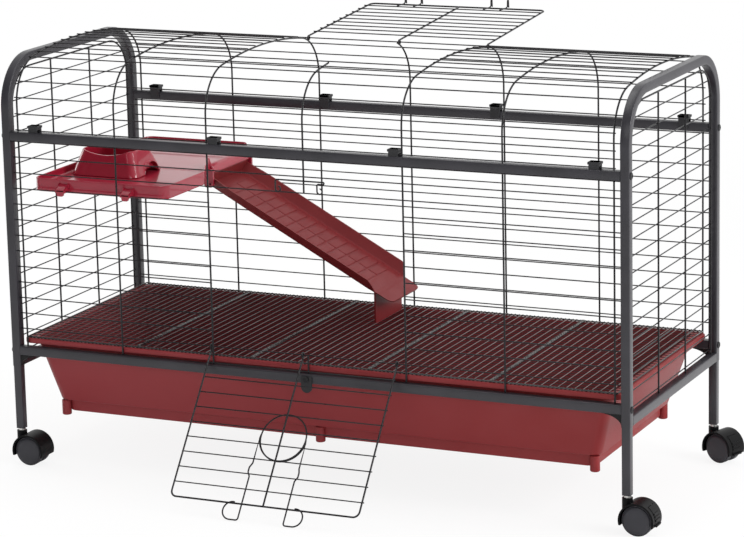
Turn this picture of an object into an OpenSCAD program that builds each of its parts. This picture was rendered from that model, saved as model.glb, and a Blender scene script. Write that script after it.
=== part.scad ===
// Wheeled rabbit cage: tube frame, wire panels, wire dome, two wire doors,
// a litter tray under a mesh floor, a shelf with a ramp, and four casters.
// Millimetres. Front is -Y. The origin is on the floor, midway between the four posts.

/* [Tube frame] */
// Length over the two end hoops
cage_len = 1100; // [1040:10:1300]
// Depth over the two end hoops
cage_dep = 438; // [420:2:520]
// Width of the square tube
tube = 15; // [13:0.5:18]
// Wall of the square tube
tube_wall = 1.2; // [0.8:0.1:1.6]
// Rounding of the tube's long edges
tube_edge = 1.6; // [0.8:0.1:2.5]
// Height of the hoops above the floor
hoop_top = 694; // [680:1:760]
// Outer radius of the hoops' bends
hoop_bend = 85; // [70:1:100]
// Height of the joint between hoop and leg
joint_z = 170; // [160:1:176]
// Underside of the front and rear lower rails
long_rail_z = 190; // [186:1:194]
// Underside of the front and rear mid rails
mid_rail_z = 556; // [550:1:575]
// Width of the leg tube
leg_tube = 14; // [13:0.25:14.5]
// Length of the leg's spigot inside the hoop
spigot_len = 34; // [20:1:50]
// Gap around the spigot inside the hoop
spigot_gap = 0.3; // [0.2:0.05:0.5]
// Thickness of the solid foot of each leg
foot_len = 34; // [30:1:45]
// Thickness of the rails' solid ends
rail_end = 14; // [12:1:20]

/* [Screws and brackets] */
// Radius of the screw heads
head_r = 5.5; // [4.5:0.1:6.5]
// Height of the screw heads
head_h = 3; // [2:0.1:4]
// Radius of the screw shanks
shank_r = 2; // [1.5:0.1:2.5]
// Screw length behind the head
shank_len = 25; // [22:1:27]
// Clearance around a screw shank or a pivot pin
pin_gap = 0.05; // [0.03:0.01:0.09]
// Length of the corner brackets along the rail
gusset_len = 48; // [35:1:60]
// Drop of the corner brackets below the rail
gusset_drop = 22; // [16:1:28]
// Thickness of the corner brackets
gusset_t = 12; // [8:1:14]
// Width of the dome clips
clip_w = 20; // [14:1:26]
// Thickness of the dome clips
clip_t = 2.5; // [2:0.1:3.5]
// Height of the dome clips over the dome's lowest wire
clip_rise = 5.5; // [4:0.5:8]
// Reach of the dome clips down the inner face of the rail
clip_drop = 11; // [6:0.5:13]
// Distance from a clip to the post side of its bay
clip_inset = 43; // [30:1:60]
// Distance from the cage's middle to the inner clips
clip_mid_x = 159; // [150:1:164]

/* [Wire panels] */
// Radius of the upright wires
post_r = 1.5; // [1.3:0.1:1.8]
// Radius of the cross wires
cross_r = 1; // [0.8:0.1:1.3]
// Depth by which crossing wires are fused
weld = 0.5; // [0.4:0.1:0.7]
// Spacing of the cross wires
wire_pitch = 26.6; // [24:0.1:29]
// Height of the lowest cross wire above the lower rail
first_wire = 29.5; // [24:0.5:34]
// Gap from the post to the outer upright wire
edge_gap = 12; // [8:0.5:18]
// Distance of the second upright wire from the middle
col_mid = 341; // [300:1:380]
// Distance of the door opening's side from the middle
door_half = 172; // [168:1:190]
// Cross wires spanned by the front opening
door_rows = 10; // [8:1:11]
// Distance of the end panels' upright wires from the middle
end_col = 65; // [50:1:80]
// Gap from the hoop to the end panel's edge wire
hoop_gap = 10; // [7:0.5:14]
// Height of the end panels' lowest cross wire above the end rail
end_first = 8; // [5:0.5:12]
// Length of a cross wire past the outer upright
poke = 3; // [2:0.5:5]
// Extra radius of a weld bead
bead = 0.15; // [0.1:0.05:0.3]

/* [Dome] */
// Height of the dome's lowest wire above the mid rail
dome_foot = 3; // [2.8:0.1:4]
// Straight length of the arches above the mid rail
dome_rise = 45; // [35:1:60]
// Bend radius of the arches
dome_bend = 74; // [60:1:90]
// Slope of the crown where it leaves the bend, in degrees
crown_slope = 9; // [6:0.5:12]
// Cross wires from the foot to the crown
dome_rows = 11; // [10:1:12]
// Cross wire at the front edge of the top opening
open_front_row = 7; // [6:1:8]
// Cross wire at the hinge edge of the top opening
open_rear_row = 5; // [4:1:5]

/* [Doors] */
// Width between the side wires of a door
door_w = 331; // [320:1:336]
// Length of a door from its hinge to its end wire
door_len = 261; // [240:1:262]
// Cross wires on a door
door_wires = 9; // [7:1:9]
// Corner radius of a door
door_corner = 10; // [6:1:16]
// Radius of the hinge loops, to the middle of the wire
loop_r = 3.3; // [3.2:0.1:4]
// Sideways place of the front door
front_door_x = -10.5; // [-11:0.5:-5]
// Lean of the open front door from straight down, in degrees
door_lean = 37.8; // [37.8:0.1:60]
// Tilt of the open top door above level, in degrees
top_tilt = 4.4; // [3:0.1:20]
// Offset of the top door's middle wire, which passes the wire below its hinge
top_mid = 4; // [3.5:0.5:10]

/* [Front latch] */
// Radius of the latch wire
latch_r = 1.25; // [1:0.05:1.4]
// Radius of the finger ring
ring_r = 40; // [32:0.5:42]
// Distance of the finger ring's middle from the hinge
ring_at = 141; // [130:1:150]
// Turns of the finger ring
ring_turns = 1.5; // [1.5:1:2.5]
// Climb of the finger ring in one turn
ring_pitch = 3; // [3:0.1:4]
// Distance from the hinge to the bottom of the hooks
hook_at = 287; // [280:0.5:287]
// Radius of the hooks
hook_r = 15; // [11:0.5:15]
// Depth of the jog in each leg
jog = 4; // [2:0.5:6]
// Clearance between the latch and the door's wires
latch_gap = 0.3; // [0.2:0.05:0.6]
// Height of the keeper above the front opening
keeper_z = 17; // [14:0.5:20]
// Distance of the two keeper strands
keeper_gap = 3.6; // [3:0.1:5]
// Left end of the keeper
keeper_x0 = -49; // [-60:1:-40]
// Right end of the keeper
keeper_x1 = 37; // [28:1:44]
// Radius of the keeper's eyes
eye_r = 4.5; // [3.5:0.1:5]
// Height of the top door's hooks
hairpin_h = 16; // [12:0.5:20]
// Spread of each pair of hooks
hairpin_pair = 31; // [24:1:40]
// Distance of each pair from the door's middle
hairpin_x = 82; // [60:1:110]

/* [Floor and tray] */
// Gap from the tray's rim to the upright wires
rim_gap = 1; // [0.8:0.1:3]
// Gap from the tray's rim to the end posts
rim_end_gap = 7; // [7:0.5:12]
// Sideways place of the tray
tray_x = -6; // [-6:0.5:6]
// Width of the rim's ledge at the tray's ends
end_ledge = 12; // [8:0.5:16]
// Height of the tray's rim above the lower rails
rim_h = 13; // [10:0.5:16]
// Wall of the tray
tray_wall = 3; // [2:0.1:4]
// Depth of the tray below the lower rails' top
tray_depth = 101; // [80:1:110]
// Lean of the tray's end walls, sideways over height
end_lean = 0.29; // [0.2:0.01:0.4]
// Lean of the tray's long walls, sideways over height
side_lean = 0.34; // [0.2:0.01:0.4]
// Step inwards at the tray's base
base_step = 9; // [6:0.5:14]
// Height of the tray's base
base_h = 20.5; // [12:0.5:24]
// Radius of the tray's feet
foot_r = 8; // [6:0.5:10]
// Height of the tray's feet
foot_h = 6.5; // [5:0.5:12]
// Radius of the tray's upright corners
tray_corner = 16; // [10:1:26]
// Clearance between the tray's wall and the lower rails
tray_gap = 0.6; // [0.4:0.1:2]
// Spacing of the mesh floor's bars
mesh_pitch = 42; // [36:0.1:48]
// Width of a mesh bar
mesh_bar = 2; // [1.5:0.1:3]
// Thickness of the mesh, both layers of bars together
mesh_t = 2.4; // [1.8:0.1:3]
// Gap between the mesh's bars where they meet or cross
mesh_play = 0.1; // [0.05:0.05:0.2]
// Width and height of the mesh floor's border and cross bars
border = 4; // [3:0.1:5]
// Gap from the mesh floor to the tray rim's outer edge
mesh_inset = 3; // [2:0.5:6]
// Distance of the inner cross bars from the middle
seam_x = 105; // [90:1:130]
// Width of the tray lock
lock_w = 19; // [16:0.5:24]
// Height of the tray lock
lock_h = 29; // [27:0.5:34]
// Thickness of the tray lock
lock_t = 2.5; // [2:0.1:3.5]

/* [Shelf] */
// Top of the shelf's deck above the floor
deck_z = 479.5; // [474:0.5:480]
// Height of the shelf's rim above the deck
shelf_rim = 12.5; // [10:0.5:16]
// Depth of the shelf's skirt below the deck
shelf_skirt = 10; // [8:0.5:12]
// Thickness of the shelf
shelf_t = 3; // [2.5:0.1:4]
// Gap from the shelf to the left end panel's post
shelf_gap = 28; // [24:1:40]
// Length of the shelf's deep part
shelf_len = 250; // [220:1:300]
// Length of the shelf at the landing
landing_len = 202; // [180:1:210]
// Depth of the shelf's short side beside the landing
shelf_front = 136; // [120:1:150]
// Gap from the shelf to the front and rear uprights
shelf_side_gap = 12; // [11:0.5:16]
// Depth of the landing beyond the ramp's width
landing_side = 15.5; // [12:0.5:20]
// Width of the shelf's hooks
shelf_hook_w = 20; // [14:1:24]
// Distances of the shelf's hooks from its left edge
shelf_hook_x = [50, 172]; // [40:1:180]

/* [Ramp] */
// Slope of the ramp, in degrees
ramp_slope = 28.4; // [26:0.1:31]
// Width of the ramp
ramp_w = 141; // [110:1:160]
// Length of the ramp's channel
ramp_len = 352; // [330:1:356]
// Height of the ramp's side walls
ramp_wall = 19.5; // [14:0.5:20]
// Thickness of the ramp
ramp_t = 3; // [2.5:0.1:4]
// Length of the tongue past the channel
tongue = 35; // [24:1:38]
// Margin of the ramp's floor beside its treads
ramp_margin = 20; // [14:1:26]
// Spacing of the treads
tread_pitch = 21.6; // [18:0.2:30]
// Gap between two treads
tread_gap = 4; // [3:0.5:6]
// Drop from the shelf's deck to the upper end of the ramp's floor
ramp_drop = 35.5; // [34:0.5:40]
// Length of the ramp under the landing
ramp_under = 10; // [4:1:10]
// Radius of the ramp's pivots
pivot_r = 2.5; // [2:0.1:3]

/* [Dish] */
// Length of the dish's base
dish_len = 128; // [110:1:140]
// Depth of the dish's base
dish_dep = 98; // [80:1:110]
// Height of the dish
dish_h = 43; // [34:1:50]
// Lean of the dish's walls, sideways over height
dish_lean = 0.34; // [0.2:0.01:0.5]
// Wall of the dish
dish_wall = 2.5; // [2:0.1:3]
// Distance of the dish from the shelf's left edge
dish_side = 16; // [10:1:30]
// Distance of the dish from the shelf's front edge
dish_front = 92; // [70:1:100]
// Radius of the dip in the dish's rim
dip_r = 34; // [28:0.5:38]
// Depth of the dip in the dish's rim
dip_deep = 8; // [6:0.5:12]
// Radius of the arch at the dish's right end
arch_r = 18; // [14:0.5:20]
// Distance of the arch from the dish's rear edge
arch_inset = 36; // [30:1:50]

/* [Casters] */
// Radius of the wheels
wheel_r = 25; // [23:0.5:27]
// Width over a pair of wheels
wheel_w = 38; // [34:0.5:42]
// Offset of the axle from the stem
trail = 20; // [18:0.5:22]
// Outer radius of the caster's hood
hood_r = 29; // [28.6:0.1:31]
// Thickness of the hood's middle web
web = 6; // [5:0.5:8]
// Gap around the wheels inside the hood
wheel_gap = 1; // [0.8:0.1:1.4]
// Radius of the stem
stem_r = 4; // [3.5:0.1:4.5]
// Height from the floor to the leg
caster_h = 61; // [60:0.5:66]
// Radius of the axle
axle_r = 2.5; // [2:0.1:3]
// Heading of the rear right caster, in degrees
rear_right_turn = -20; // [-40:1:0]
// Heading of the rear left caster, in degrees
rear_left_turn = 12; // [0:1:30]

/* [Hidden] */
$fn = 32;

steel = [0.27, 0.26, 0.29];
wire = [0.12, 0.12, 0.13];
black = [0.09, 0.09, 0.1];
zinc = [0.75, 0.75, 0.75];
tray_red = [0.52, 0.2, 0.21];
shelf_red = [0.6, 0.1, 0.17];

post_x = (cage_len - tube) / 2;
post_y = (cage_dep - tube) / 2;
in_x = cage_len / 2 - tube;
in_y = cage_dep / 2 - tube;
long_rail_top = long_rail_z + tube;
mid_rail_top = mid_rail_z + tube;
end_rail_top = joint_z + tube;
layer = post_r + cross_r - weld;

// Front and rear panels
wire_z0 = long_rail_top + first_wire;
rows = floor((mid_rail_z - cross_r - wire_z0) / wire_pitch);
open_z = wire_z0 + door_rows * wire_pitch;
col_x = in_x - edge_gap;
panel_y = post_y - layer;

// Dome: upright foot, bend and crown, measured along the arch from the foot
arch_y = post_y;
bend_z = mid_rail_top + dome_rise;
bend_turn = 90 - crown_slope;
crown_y = arch_y - dome_bend * (1 - sin(crown_slope));
crown_r = crown_y / sin(crown_slope);
crown_z = bend_z + dome_bend * cos(crown_slope) - crown_r * cos(crown_slope);
s_bend = dome_rise - dome_foot;
s_crown = s_bend + dome_bend * bend_turn * PI / 180;
s_half = s_crown + crown_r * crown_slope * PI / 180;
dome_pitch = s_half / dome_rows;

// Place [y, z] on the rear half of the dome, s along from the foot, out by off
function dome_at(s, off = 0) =
  s <= s_bend ? [arch_y + off, mid_rail_top + dome_foot + s]
  : s <= s_crown ? let (a = (s - s_bend) / dome_bend * 180 / PI)
    [arch_y - dome_bend + (dome_bend + off) * cos(a), bend_z + (dome_bend + off) * sin(a)]
  : let (a = crown_slope - (s - s_crown) / crown_r * 180 / PI)
    [(crown_r + off) * sin(a), crown_z + (crown_r + off) * cos(a)];

front_edge = dome_at(open_front_row * dome_pitch, layer);
hinge_edge = dome_at(open_rear_row * dome_pitch, layer);

// Doors
thin_w = loop_r + layer;
latch_w = thin_w + cross_r + latch_r + latch_gap;
door_pitch = door_len / (door_wires + 1);

// Tray
rim_x = in_x - rim_end_gap;
rim_y = post_y - post_r - rim_gap;
wall_top_x = rim_x - end_ledge;
wall_top_y = in_y - tray_gap;
tray_z = long_rail_top - tray_depth;
mesh_z = long_rail_top + rim_h;
mesh_x = rim_x - mesh_inset;
mesh_y = rim_y - mesh_inset;

// Shelf outline
shelf_x0 = -in_x + shelf_gap;
shelf_x1 = shelf_x0 + shelf_len;
landing_x = shelf_x0 + landing_len;
shelf_y = post_y - shelf_side_gap - cross_r;
shelf_cut_y = -shelf_y + shelf_front;
landing_y = shelf_y - ramp_w - landing_side;
landing_back = shelf_y - 2 * shelf_t;
shelf_plan = [[shelf_x0, -shelf_y], [shelf_x1 - 5, -shelf_y], [shelf_x1, -shelf_y + 12],
  [shelf_x1, shelf_cut_y], [landing_x, landing_y], [landing_x, shelf_y], [shelf_x0, shelf_y]];

// Ramp
ramp_y = landing_y + 4.5 + ramp_w / 2;
ramp_x = landing_x - ramp_under;
pin_u = 10;
pin_w = 9;
ramp_z = deck_z - ramp_drop;

// Outline of a square with rounded corners
function soft_square(w, r, n = 4) = [for (q = [0 : 3]) for (k = [0 : n])
  let (a = 90 * q + 90 * k / n) (w / 2 - r) * [q == 0 || q == 3 ? 1 : -1, q < 2 ? 1 : -1]
    + r * [cos(a), sin(a)]];

// Outline pts, counter-clockwise, moved inwards by d
function inset(pts, d) = [for (i = [0 : len(pts) - 1])
  let (n = len(pts),
    a = pts[i] - pts[(i + n - 1) % n],
    b = pts[(i + 1) % n] - pts[i],
    u = a / norm(a), v = b / norm(b),
    m = [-u.y - v.y, u.x + v.x])
  pts[i] + m * d / (1 + u.x * v.x + u.y * v.y)];

// Points on an arc in the plane of a and b around c
function bow(c, r, a, b, t0, t1, n) = [for (k = [0 : n]) let (t = t0 + (t1 - t0) * k / n)
  c + r * (cos(t) * a + sin(t) * b)];

// Frame of directions carried along a route without twist
function unit(v) = v / norm(v);
function heading(p, i) = unit(p[min(i + 1, len(p) - 1)] - p[max(i - 1, 0)]);
function carried(p, i, u) = i >= len(p) ? []
  : let (t = heading(p, i), w = unit(u - (u * t) * t)) concat([w], carried(p, i + 1, w));

// Round wire of radius r along the route p, as one closed tube
module bent_wire(p, r, start, sides = 10) {
  u = carried(p, 0, start);
  n = len(p);
  pts = [for (i = [0 : n - 1]) let (t = heading(p, i), v = cross(t, u[i]))
    for (k = [0 : sides - 1]) let (a = 360 * k / sides) p[i] + r * (cos(a) * u[i] + sin(a) * v)];
  walls = [for (i = [0 : n - 2]) for (k = [0 : sides - 1]) let (j = (k + 1) % sides)
    each [[i * sides + k, (i + 1) * sides + k, i * sides + j],
      [i * sides + j, (i + 1) * sides + k, (i + 1) * sides + j]]];
  caps = [for (k = [1 : sides - 2]) each [[0, k, k + 1],
    [(n - 1) * sides, (n - 1) * sides + k + 1, (n - 1) * sides + k]]];
  polyhedron(points = pts, faces = concat(walls, caps));
}

module tube_section(w = tube) {
  difference() {
    polygon(soft_square(w, tube_edge));
    square(w - 2 * tube_wall, center = true);
  }
}

module rod_x(x0, x1, y, z, r) {
  translate([x0, y, z]) rotate([0, 90, 0]) cylinder(h = x1 - x0, r = r);
}

module rod_y(y0, y1, x, z, r) {
  translate([x, y0, z]) rotate([-90, 0, 0]) cylinder(h = y1 - y0, r = r);
}

module rod_z(z0, z1, x, y, r) {
  translate([x, y, z0]) cylinder(h = z1 - z0, r = r);
}

// Ring piece about an axis along X, from the +Y side towards +Z
module turn_yz(angle, r) {
  rotate([90, 0, 90]) rotate_extrude(angle = angle, $fn = 64) translate([r, 0]) children();
}

module hoop(side) {
  x = side * post_x;
  top_z = hoop_top - tube / 2;
  bend_y = cage_dep / 2 - hoop_bend;
  bend_at = hoop_top - hoop_bend;
  color(steel) difference() {
    union() {
      for (s = [-1, 1]) translate([x, s * post_y, joint_z])
        linear_extrude(bend_at - joint_z) tube_section();
      for (m = [0, 1]) mirror([0, m, 0]) translate([x, bend_y, bend_at])
        turn_yz(90, hoop_bend - tube / 2) tube_section();
      translate([x, bend_y, top_z]) rotate([90, 0, 0])
        linear_extrude(2 * bend_y) tube_section();
    }
    for (s = [-1, 1]) for (z = [long_rail_z, mid_rail_z])
      rod_x(x - tube, x + tube, s * post_y, z + tube / 2, shank_r + pin_gap);
  }
}

module left_hoop() hoop(-1);
module right_hoop() hoop(1);

module end_rail(side) {
  color(steel) translate([side * post_x, in_y, joint_z + tube / 2]) rotate([90, 0, 0])
    linear_extrude(2 * in_y) tube_section();
}

module left_end_rail() end_rail(-1);
module right_end_rail() end_rail(1);

// Long rail between the hoops, open inside but for its screwed ends
module long_rail(side, z) {
  color(steel) difference() {
    translate([-in_x, side * post_y, z + tube / 2]) rotate([90, 0, 90])
      linear_extrude(2 * in_x) polygon(soft_square(tube, tube_edge));
    translate([-in_x + rail_end, side * post_y, z + tube / 2]) rotate([90, 0, 90])
      linear_extrude(2 * (in_x - rail_end)) square(tube - 2 * tube_wall, center = true);
    for (s = [-1, 1]) rod_x(s * in_x - rail_end + 1, s * in_x + rail_end - 1,
      side * post_y, z + tube / 2, shank_r + pin_gap);
    children();
  }
}

module front_lower_rail() {
  long_rail(-1, long_rail_z) rod_y(-cage_dep / 2 - 1, -post_y, 0, lock_z, shank_r + pin_gap);
}

module rear_lower_rail() long_rail(1, long_rail_z);
module front_mid_rail() long_rail(-1, mid_rail_z);
module rear_mid_rail() long_rail(1, mid_rail_z);

module leg(sx, sy) {
  color(steel) translate([sx * post_x, sy * post_y, 0]) difference() {
    union() {
      translate([0, 0, caster_h]) linear_extrude(joint_z - caster_h)
        polygon(soft_square(leg_tube, tube_edge));
      translate([0, 0, joint_z - 1]) linear_extrude(spigot_len + 1)
        square(tube - 2 * tube_wall - 2 * spigot_gap, center = true);
    }
    translate([0, 0, caster_h + foot_len]) linear_extrude(joint_z + spigot_len)
      square(tube - 2 * tube_wall - 2 * spigot_gap - 2 * tube_wall, center = true);
    translate([0, 0, caster_h - 1]) cylinder(h = foot_len - 3, r = stem_r + pin_gap);
    rod_x(-tube, tube, 0, long_rail_z + tube / 2, shank_r + pin_gap);
  }
}

module leg_front_left() leg(-1, -1);
module leg_front_right() leg(1, -1);
module leg_rear_left() leg(-1, 1);
module leg_rear_right() leg(1, 1);

// Curved bracket in the corner between a post and the rail above it
module corner_gussets() {
  steps = 10;
  outline = concat([[0, 0]], [for (k = [0 : steps]) let (a = 90 * k / steps)
    [gusset_len * (1 - sin(a)), gusset_drop * (cos(a) - 1)]]);
  color(black) for (sx = [0, 1]) for (sy = [-1, 1]) mirror([sx, 0, 0])
    translate([-in_x, sy * post_y + gusset_t / 2, long_rail_z]) rotate([90, 0, 0])
      linear_extrude(gusset_t) polygon(outline);
}

module frame_screws() {
  color(black) for (sx = [0, 1]) mirror([sx, 0, 0])
    for (sy = [-1, 1]) for (z = [long_rail_z, mid_rail_z])
      translate([cage_len / 2, sy * post_y, z + tube / 2]) rotate([0, 90, 0]) {
        cylinder(h = head_h - 1, r = head_r);
        translate([0, 0, head_h - 1]) cylinder(h = 1, r1 = head_r, r2 = head_r - 1, $fn = 40);
        translate([0, 0, -shank_len]) cylinder(h = shank_len + 0.5, r = shank_r);
      }
}

// Clip on the inner and upper face of a mid rail, over the dome's lowest wire
module dome_clips() {
  z = mid_rail_top;
  wire_top = z + dome_foot + cross_r + latch_gap;
  lip_y = post_y + layer + cross_r + latch_gap;
  profile = [[in_y - clip_t, z - clip_drop], [in_y, z - clip_drop], [in_y, z],
    [in_y + 2, z], [in_y + 2, wire_top], [lip_y, wire_top], [lip_y, z + dome_foot],
    [lip_y + 2, z + dome_foot], [lip_y + 2, wire_top + clip_rise],
    [in_y - clip_t, wire_top + clip_rise]];
  color(black) for (m = [0, 1]) mirror([0, m, 0])
    for (x = [-in_x + clip_inset, -clip_mid_x, clip_mid_x, in_x - clip_inset])
      translate([x - clip_w / 2, 0, 0]) rotate([90, 0, 90]) linear_extrude(clip_w) polygon(profile);
}

// Upright wires between the lower and the mid rail with cross wires inside them
module long_panel(side, open) {
  y = side * post_y;
  yc = side * panel_y;
  color(wire) union() {
    for (x = [-col_x, -col_mid, -door_half, door_half, col_mid, col_x])
      rod_z(long_rail_top, mid_rail_z, x, y, post_r);
    rod_z(long_rail_top, open ? wire_z0 : mid_rail_z, 0, y, post_r);
    if (open) rod_z(open_z, mid_rail_z, 0, y, post_r);
    for (k = [0 : rows]) {
      z = wire_z0 + k * wire_pitch;
      if (open && k > 0 && k < door_rows) {
        rod_x(-in_x, -door_half, yc, z, cross_r);
        rod_x(door_half, in_x, yc, z, cross_r);
      } else {
        rod_x(-in_x, in_x, yc, z, cross_r);
      }
    }
  }
}

module front_panel() long_panel(-1, true);
module rear_panel() long_panel(1, false);

// End panel: an edge wire that follows the hoop, uprights and cross wires
module end_panel(side) {
  x = side * post_x;
  xc = x - side * layer;
  edge_y = in_y - hoop_gap;
  edge_top = hoop_top - tube - hoop_gap;
  edge_bend = hoop_bend - tube - hoop_gap;
  bend_y = edge_y - edge_bend;
  bend_at = edge_top - edge_bend;
  count = floor((edge_top - cross_r - end_rail_top - end_first) / wire_pitch);
  color(wire) union() {
    for (s = [-1, 1]) rod_z(end_rail_top, bend_at, x, s * edge_y, post_r);
    for (m = [0, 1]) mirror([0, m, 0]) translate([x, bend_y, bend_at])
      turn_yz(90, edge_bend) circle(r = post_r);
    rod_y(-bend_y, bend_y, x, edge_top, post_r);
    for (s = [-1, 1]) rod_z(end_rail_top, edge_top, x, s * end_col, post_r);
    for (k = [0 : count]) {
      z = end_rail_top + end_first + k * wire_pitch;
      up = max(0, z - bend_at);
      half = bend_y + sqrt(edge_bend * edge_bend - up * up) + poke;
      rod_y(-half, half, xc, z, cross_r);
    }
  }
}

module left_end_panel() end_panel(-1);
module right_end_panel() end_panel(1);

// Foot and bend of an arch on its rear side, with a bead where a crown joins it
module arch_side(x, turn) {
  rod_z(mid_rail_top, bend_z, x, arch_y, post_r);
  translate([x, arch_y - dome_bend, bend_z]) turn_yz(turn, dome_bend) circle(r = post_r);
  if (turn == bend_turn) translate([x, crown_y, bend_z + dome_bend * cos(crown_slope)])
    sphere(r = post_r + bead);
}

// Part of an arch's crown, from angle a0 to a1 measured from the rear
module arch_crown(x, a0, a1) {
  translate([x, 0, crown_z]) rotate([90 - crown_slope + a0, 0, 0])
    turn_yz(a1 - a0, crown_r) circle(r = post_r);
}

module arch(x) {
  arch_side(x, bend_turn);
  mirror([0, 1, 0]) arch_side(x, bend_turn);
  arch_crown(x, 0, 2 * crown_slope);
}

// Arch cut off at a cross wire
module arch_stub(x, row) {
  s = row * dome_pitch;
  arch_side(x, min((s - s_bend) / dome_bend * 180 / PI, bend_turn));
  if (s > s_crown) arch_crown(x, 0, (s - s_crown) / crown_r * 180 / PI);
}

module dome_panel() {
  end = col_x + poke + 1;
  color(wire) union() {
    for (x = [-col_x, -col_mid, -door_half, door_half, col_mid, col_x]) arch(x);
    mirror([0, 1, 0]) arch_stub(0, open_front_row);
    arch_stub(0, open_rear_row);
    for (m = [0, 1]) for (k = [0 : dome_rows - m]) {
      p = dome_at(k * dome_pitch, layer);
      y = m == 1 ? p.x : -p.x;
      inside = m == 1 ? k > open_rear_row : k > open_front_row;
      if (inside) {
        rod_x(-end, -door_half, y, p.y, cross_r);
        rod_x(door_half, end, y, p.y, cross_r);
      } else {
        rod_x(-end, end, y, p.y, cross_r);
      }
    }
  }
}

// Wire door standing up from its hinge line, its outer face towards -Y
module door(mid = 0) {
  h = door_w / 2;
  straight = door_len - door_corner;
  color(wire) union() {
    for (s = [-1, 1]) {
      rod_z(0, straight, s * h, -loop_r, post_r);
      translate([s * (h - door_corner), -loop_r, straight]) rotate([90, 0, 0])
        mirror([s < 0 ? 1 : 0, 0, 0])
          rotate_extrude(angle = 90) translate([door_corner, 0]) circle(r = post_r);
    }
    rod_x(-h + door_corner, h - door_corner, -loop_r, door_len, post_r);
    rod_z(0, door_len, mid, -loop_r, post_r);
    for (x = [-h, mid, h]) translate([x, 0, 0]) rotate([180, 0, 0])
      turn_yz(300, loop_r) circle(r = post_r);
    for (k = [1 : door_wires]) rod_x(-h - poke, h + poke, -thin_w, k * door_pitch, cross_r);
  }
}

module front_door_place() {
  translate([front_door_x, -panel_y, wire_z0]) rotate([180 - door_lean, 0, 0]) children();
}

module top_door_place() {
  translate([0, hinge_edge.x, hinge_edge.y]) rotate([-90 + top_tilt, 0, 0]) children();
}

module front_door() front_door_place() door();
module top_door() top_door_place() door(top_mid);

// Slip latch: a finger ring wound from one wire, two legs with a jog, two hooks
module front_door_latch() {
  n = 24;
  turns = ring_turns * 360;
  side = [1, 0, 0];
  up = [0, 0, 1];
  ring = [for (k = [0 : n * ring_turns]) let (a = 180 - turns * k / (n * ring_turns))
    [ring_r * cos(a), -latch_w - ring_pitch * ring_turns * k / (n * ring_turns),
      ring_at + ring_r * sin(a)]];
  far_w = latch_w + ring_pitch * ring_turns;
  jog_at = door_len - 2.3 * door_pitch;
  function leg_route(s, w) = [[s * ring_r, -w, jog_at - 12],
    [s * ring_r + jog, -latch_w, jog_at - 4], [s * ring_r + jog, -latch_w, jog_at + 4],
    [s * ring_r, -latch_w, jog_at + 10], [s * ring_r, -latch_w, hook_at - 2]];
  function hook_route(s) = bow([s * (ring_r + 2), -latch_w, hook_at - 2], 2,
    [-s, 0, 0], up, 15, 90, 3);
  function curl(s) = bow([s * (ring_r + hook_r), -latch_w, hook_at - hook_r], hook_r,
    [s, 0, 0], up, 90, -100, 14);
  left = concat(leg_route(-1, latch_w), hook_route(-1), curl(-1));
  right = concat(leg_route(1, far_w), hook_route(1), curl(1));
  route = concat([for (i = [len(left) - 1 : -1 : 0]) left[i]], ring, right);
  color(wire) front_door_place() bent_wire(route, latch_r, [0, 1, 0]);
}

// Keeper above the front opening: a flat loop with an open eye at each end
module latch_keeper() {
  y = -post_y - post_r - latch_r + 0.3;
  z1 = open_z + keeper_z;
  z2 = z1 + keeper_gap;
  up = [0, 0, 1];
  out = [1, 0, 0];
  eye_x = keeper_x1 - 3 * eye_r + 1;
  left = bow([keeper_x0 + eye_r, y, open_z + eye_r + 1], eye_r, out, up, 450, 180, 12);
  rise = bow([keeper_x0 + 3, y, z2 - 3], 3, out, up, 180, 90, 4);
  round = bow([keeper_x1 - keeper_gap / 2, y, z1 + keeper_gap / 2], keeper_gap / 2,
    out, up, 90, -90, 8);
  down = bow([eye_x + 3, y, z1 - 3], 3, out, up, 90, 180, 4);
  eye = bow([eye_x + eye_r, y, open_z + eye_r + 1], eye_r, out, up, 180, 450, 12);
  color(wire) bent_wire(concat(left, rise, round, down, eye), latch_r, [0, 1, 0]);
}

// Hairpin hooks that stand on the top door's end wire, with a tail to the next wire
module top_door_hooks() {
  along = [0, 0, 1];
  out = [0, -1, 0];
  base = -loop_r - post_r - latch_r + 0.3;
  low = -thin_w - cross_r - latch_r + 0.3;
  at = door_len - 2;
  color(wire) top_door_place() for (s = [-1, 1]) for (p = [-1, 1]) {
    x = s * hairpin_x + p * hairpin_pair / 2;
    tail = [[x - 5, low, door_len - door_pitch - 4], [x - 4, low, door_len - door_pitch + 5],
      [x - 1, base - 1, at - 8], [x, base - 3, at - 4]];
    pin = bow([x, base - hairpin_h + 4, at], 2, out, along, -90, 90, 6);
    bent_wire(concat(tail, pin, [[x, base - 3, at + 2], [x, base, at + 2.6]]),
      latch_r, [1, 0, 0], 8);
  }
}

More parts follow.
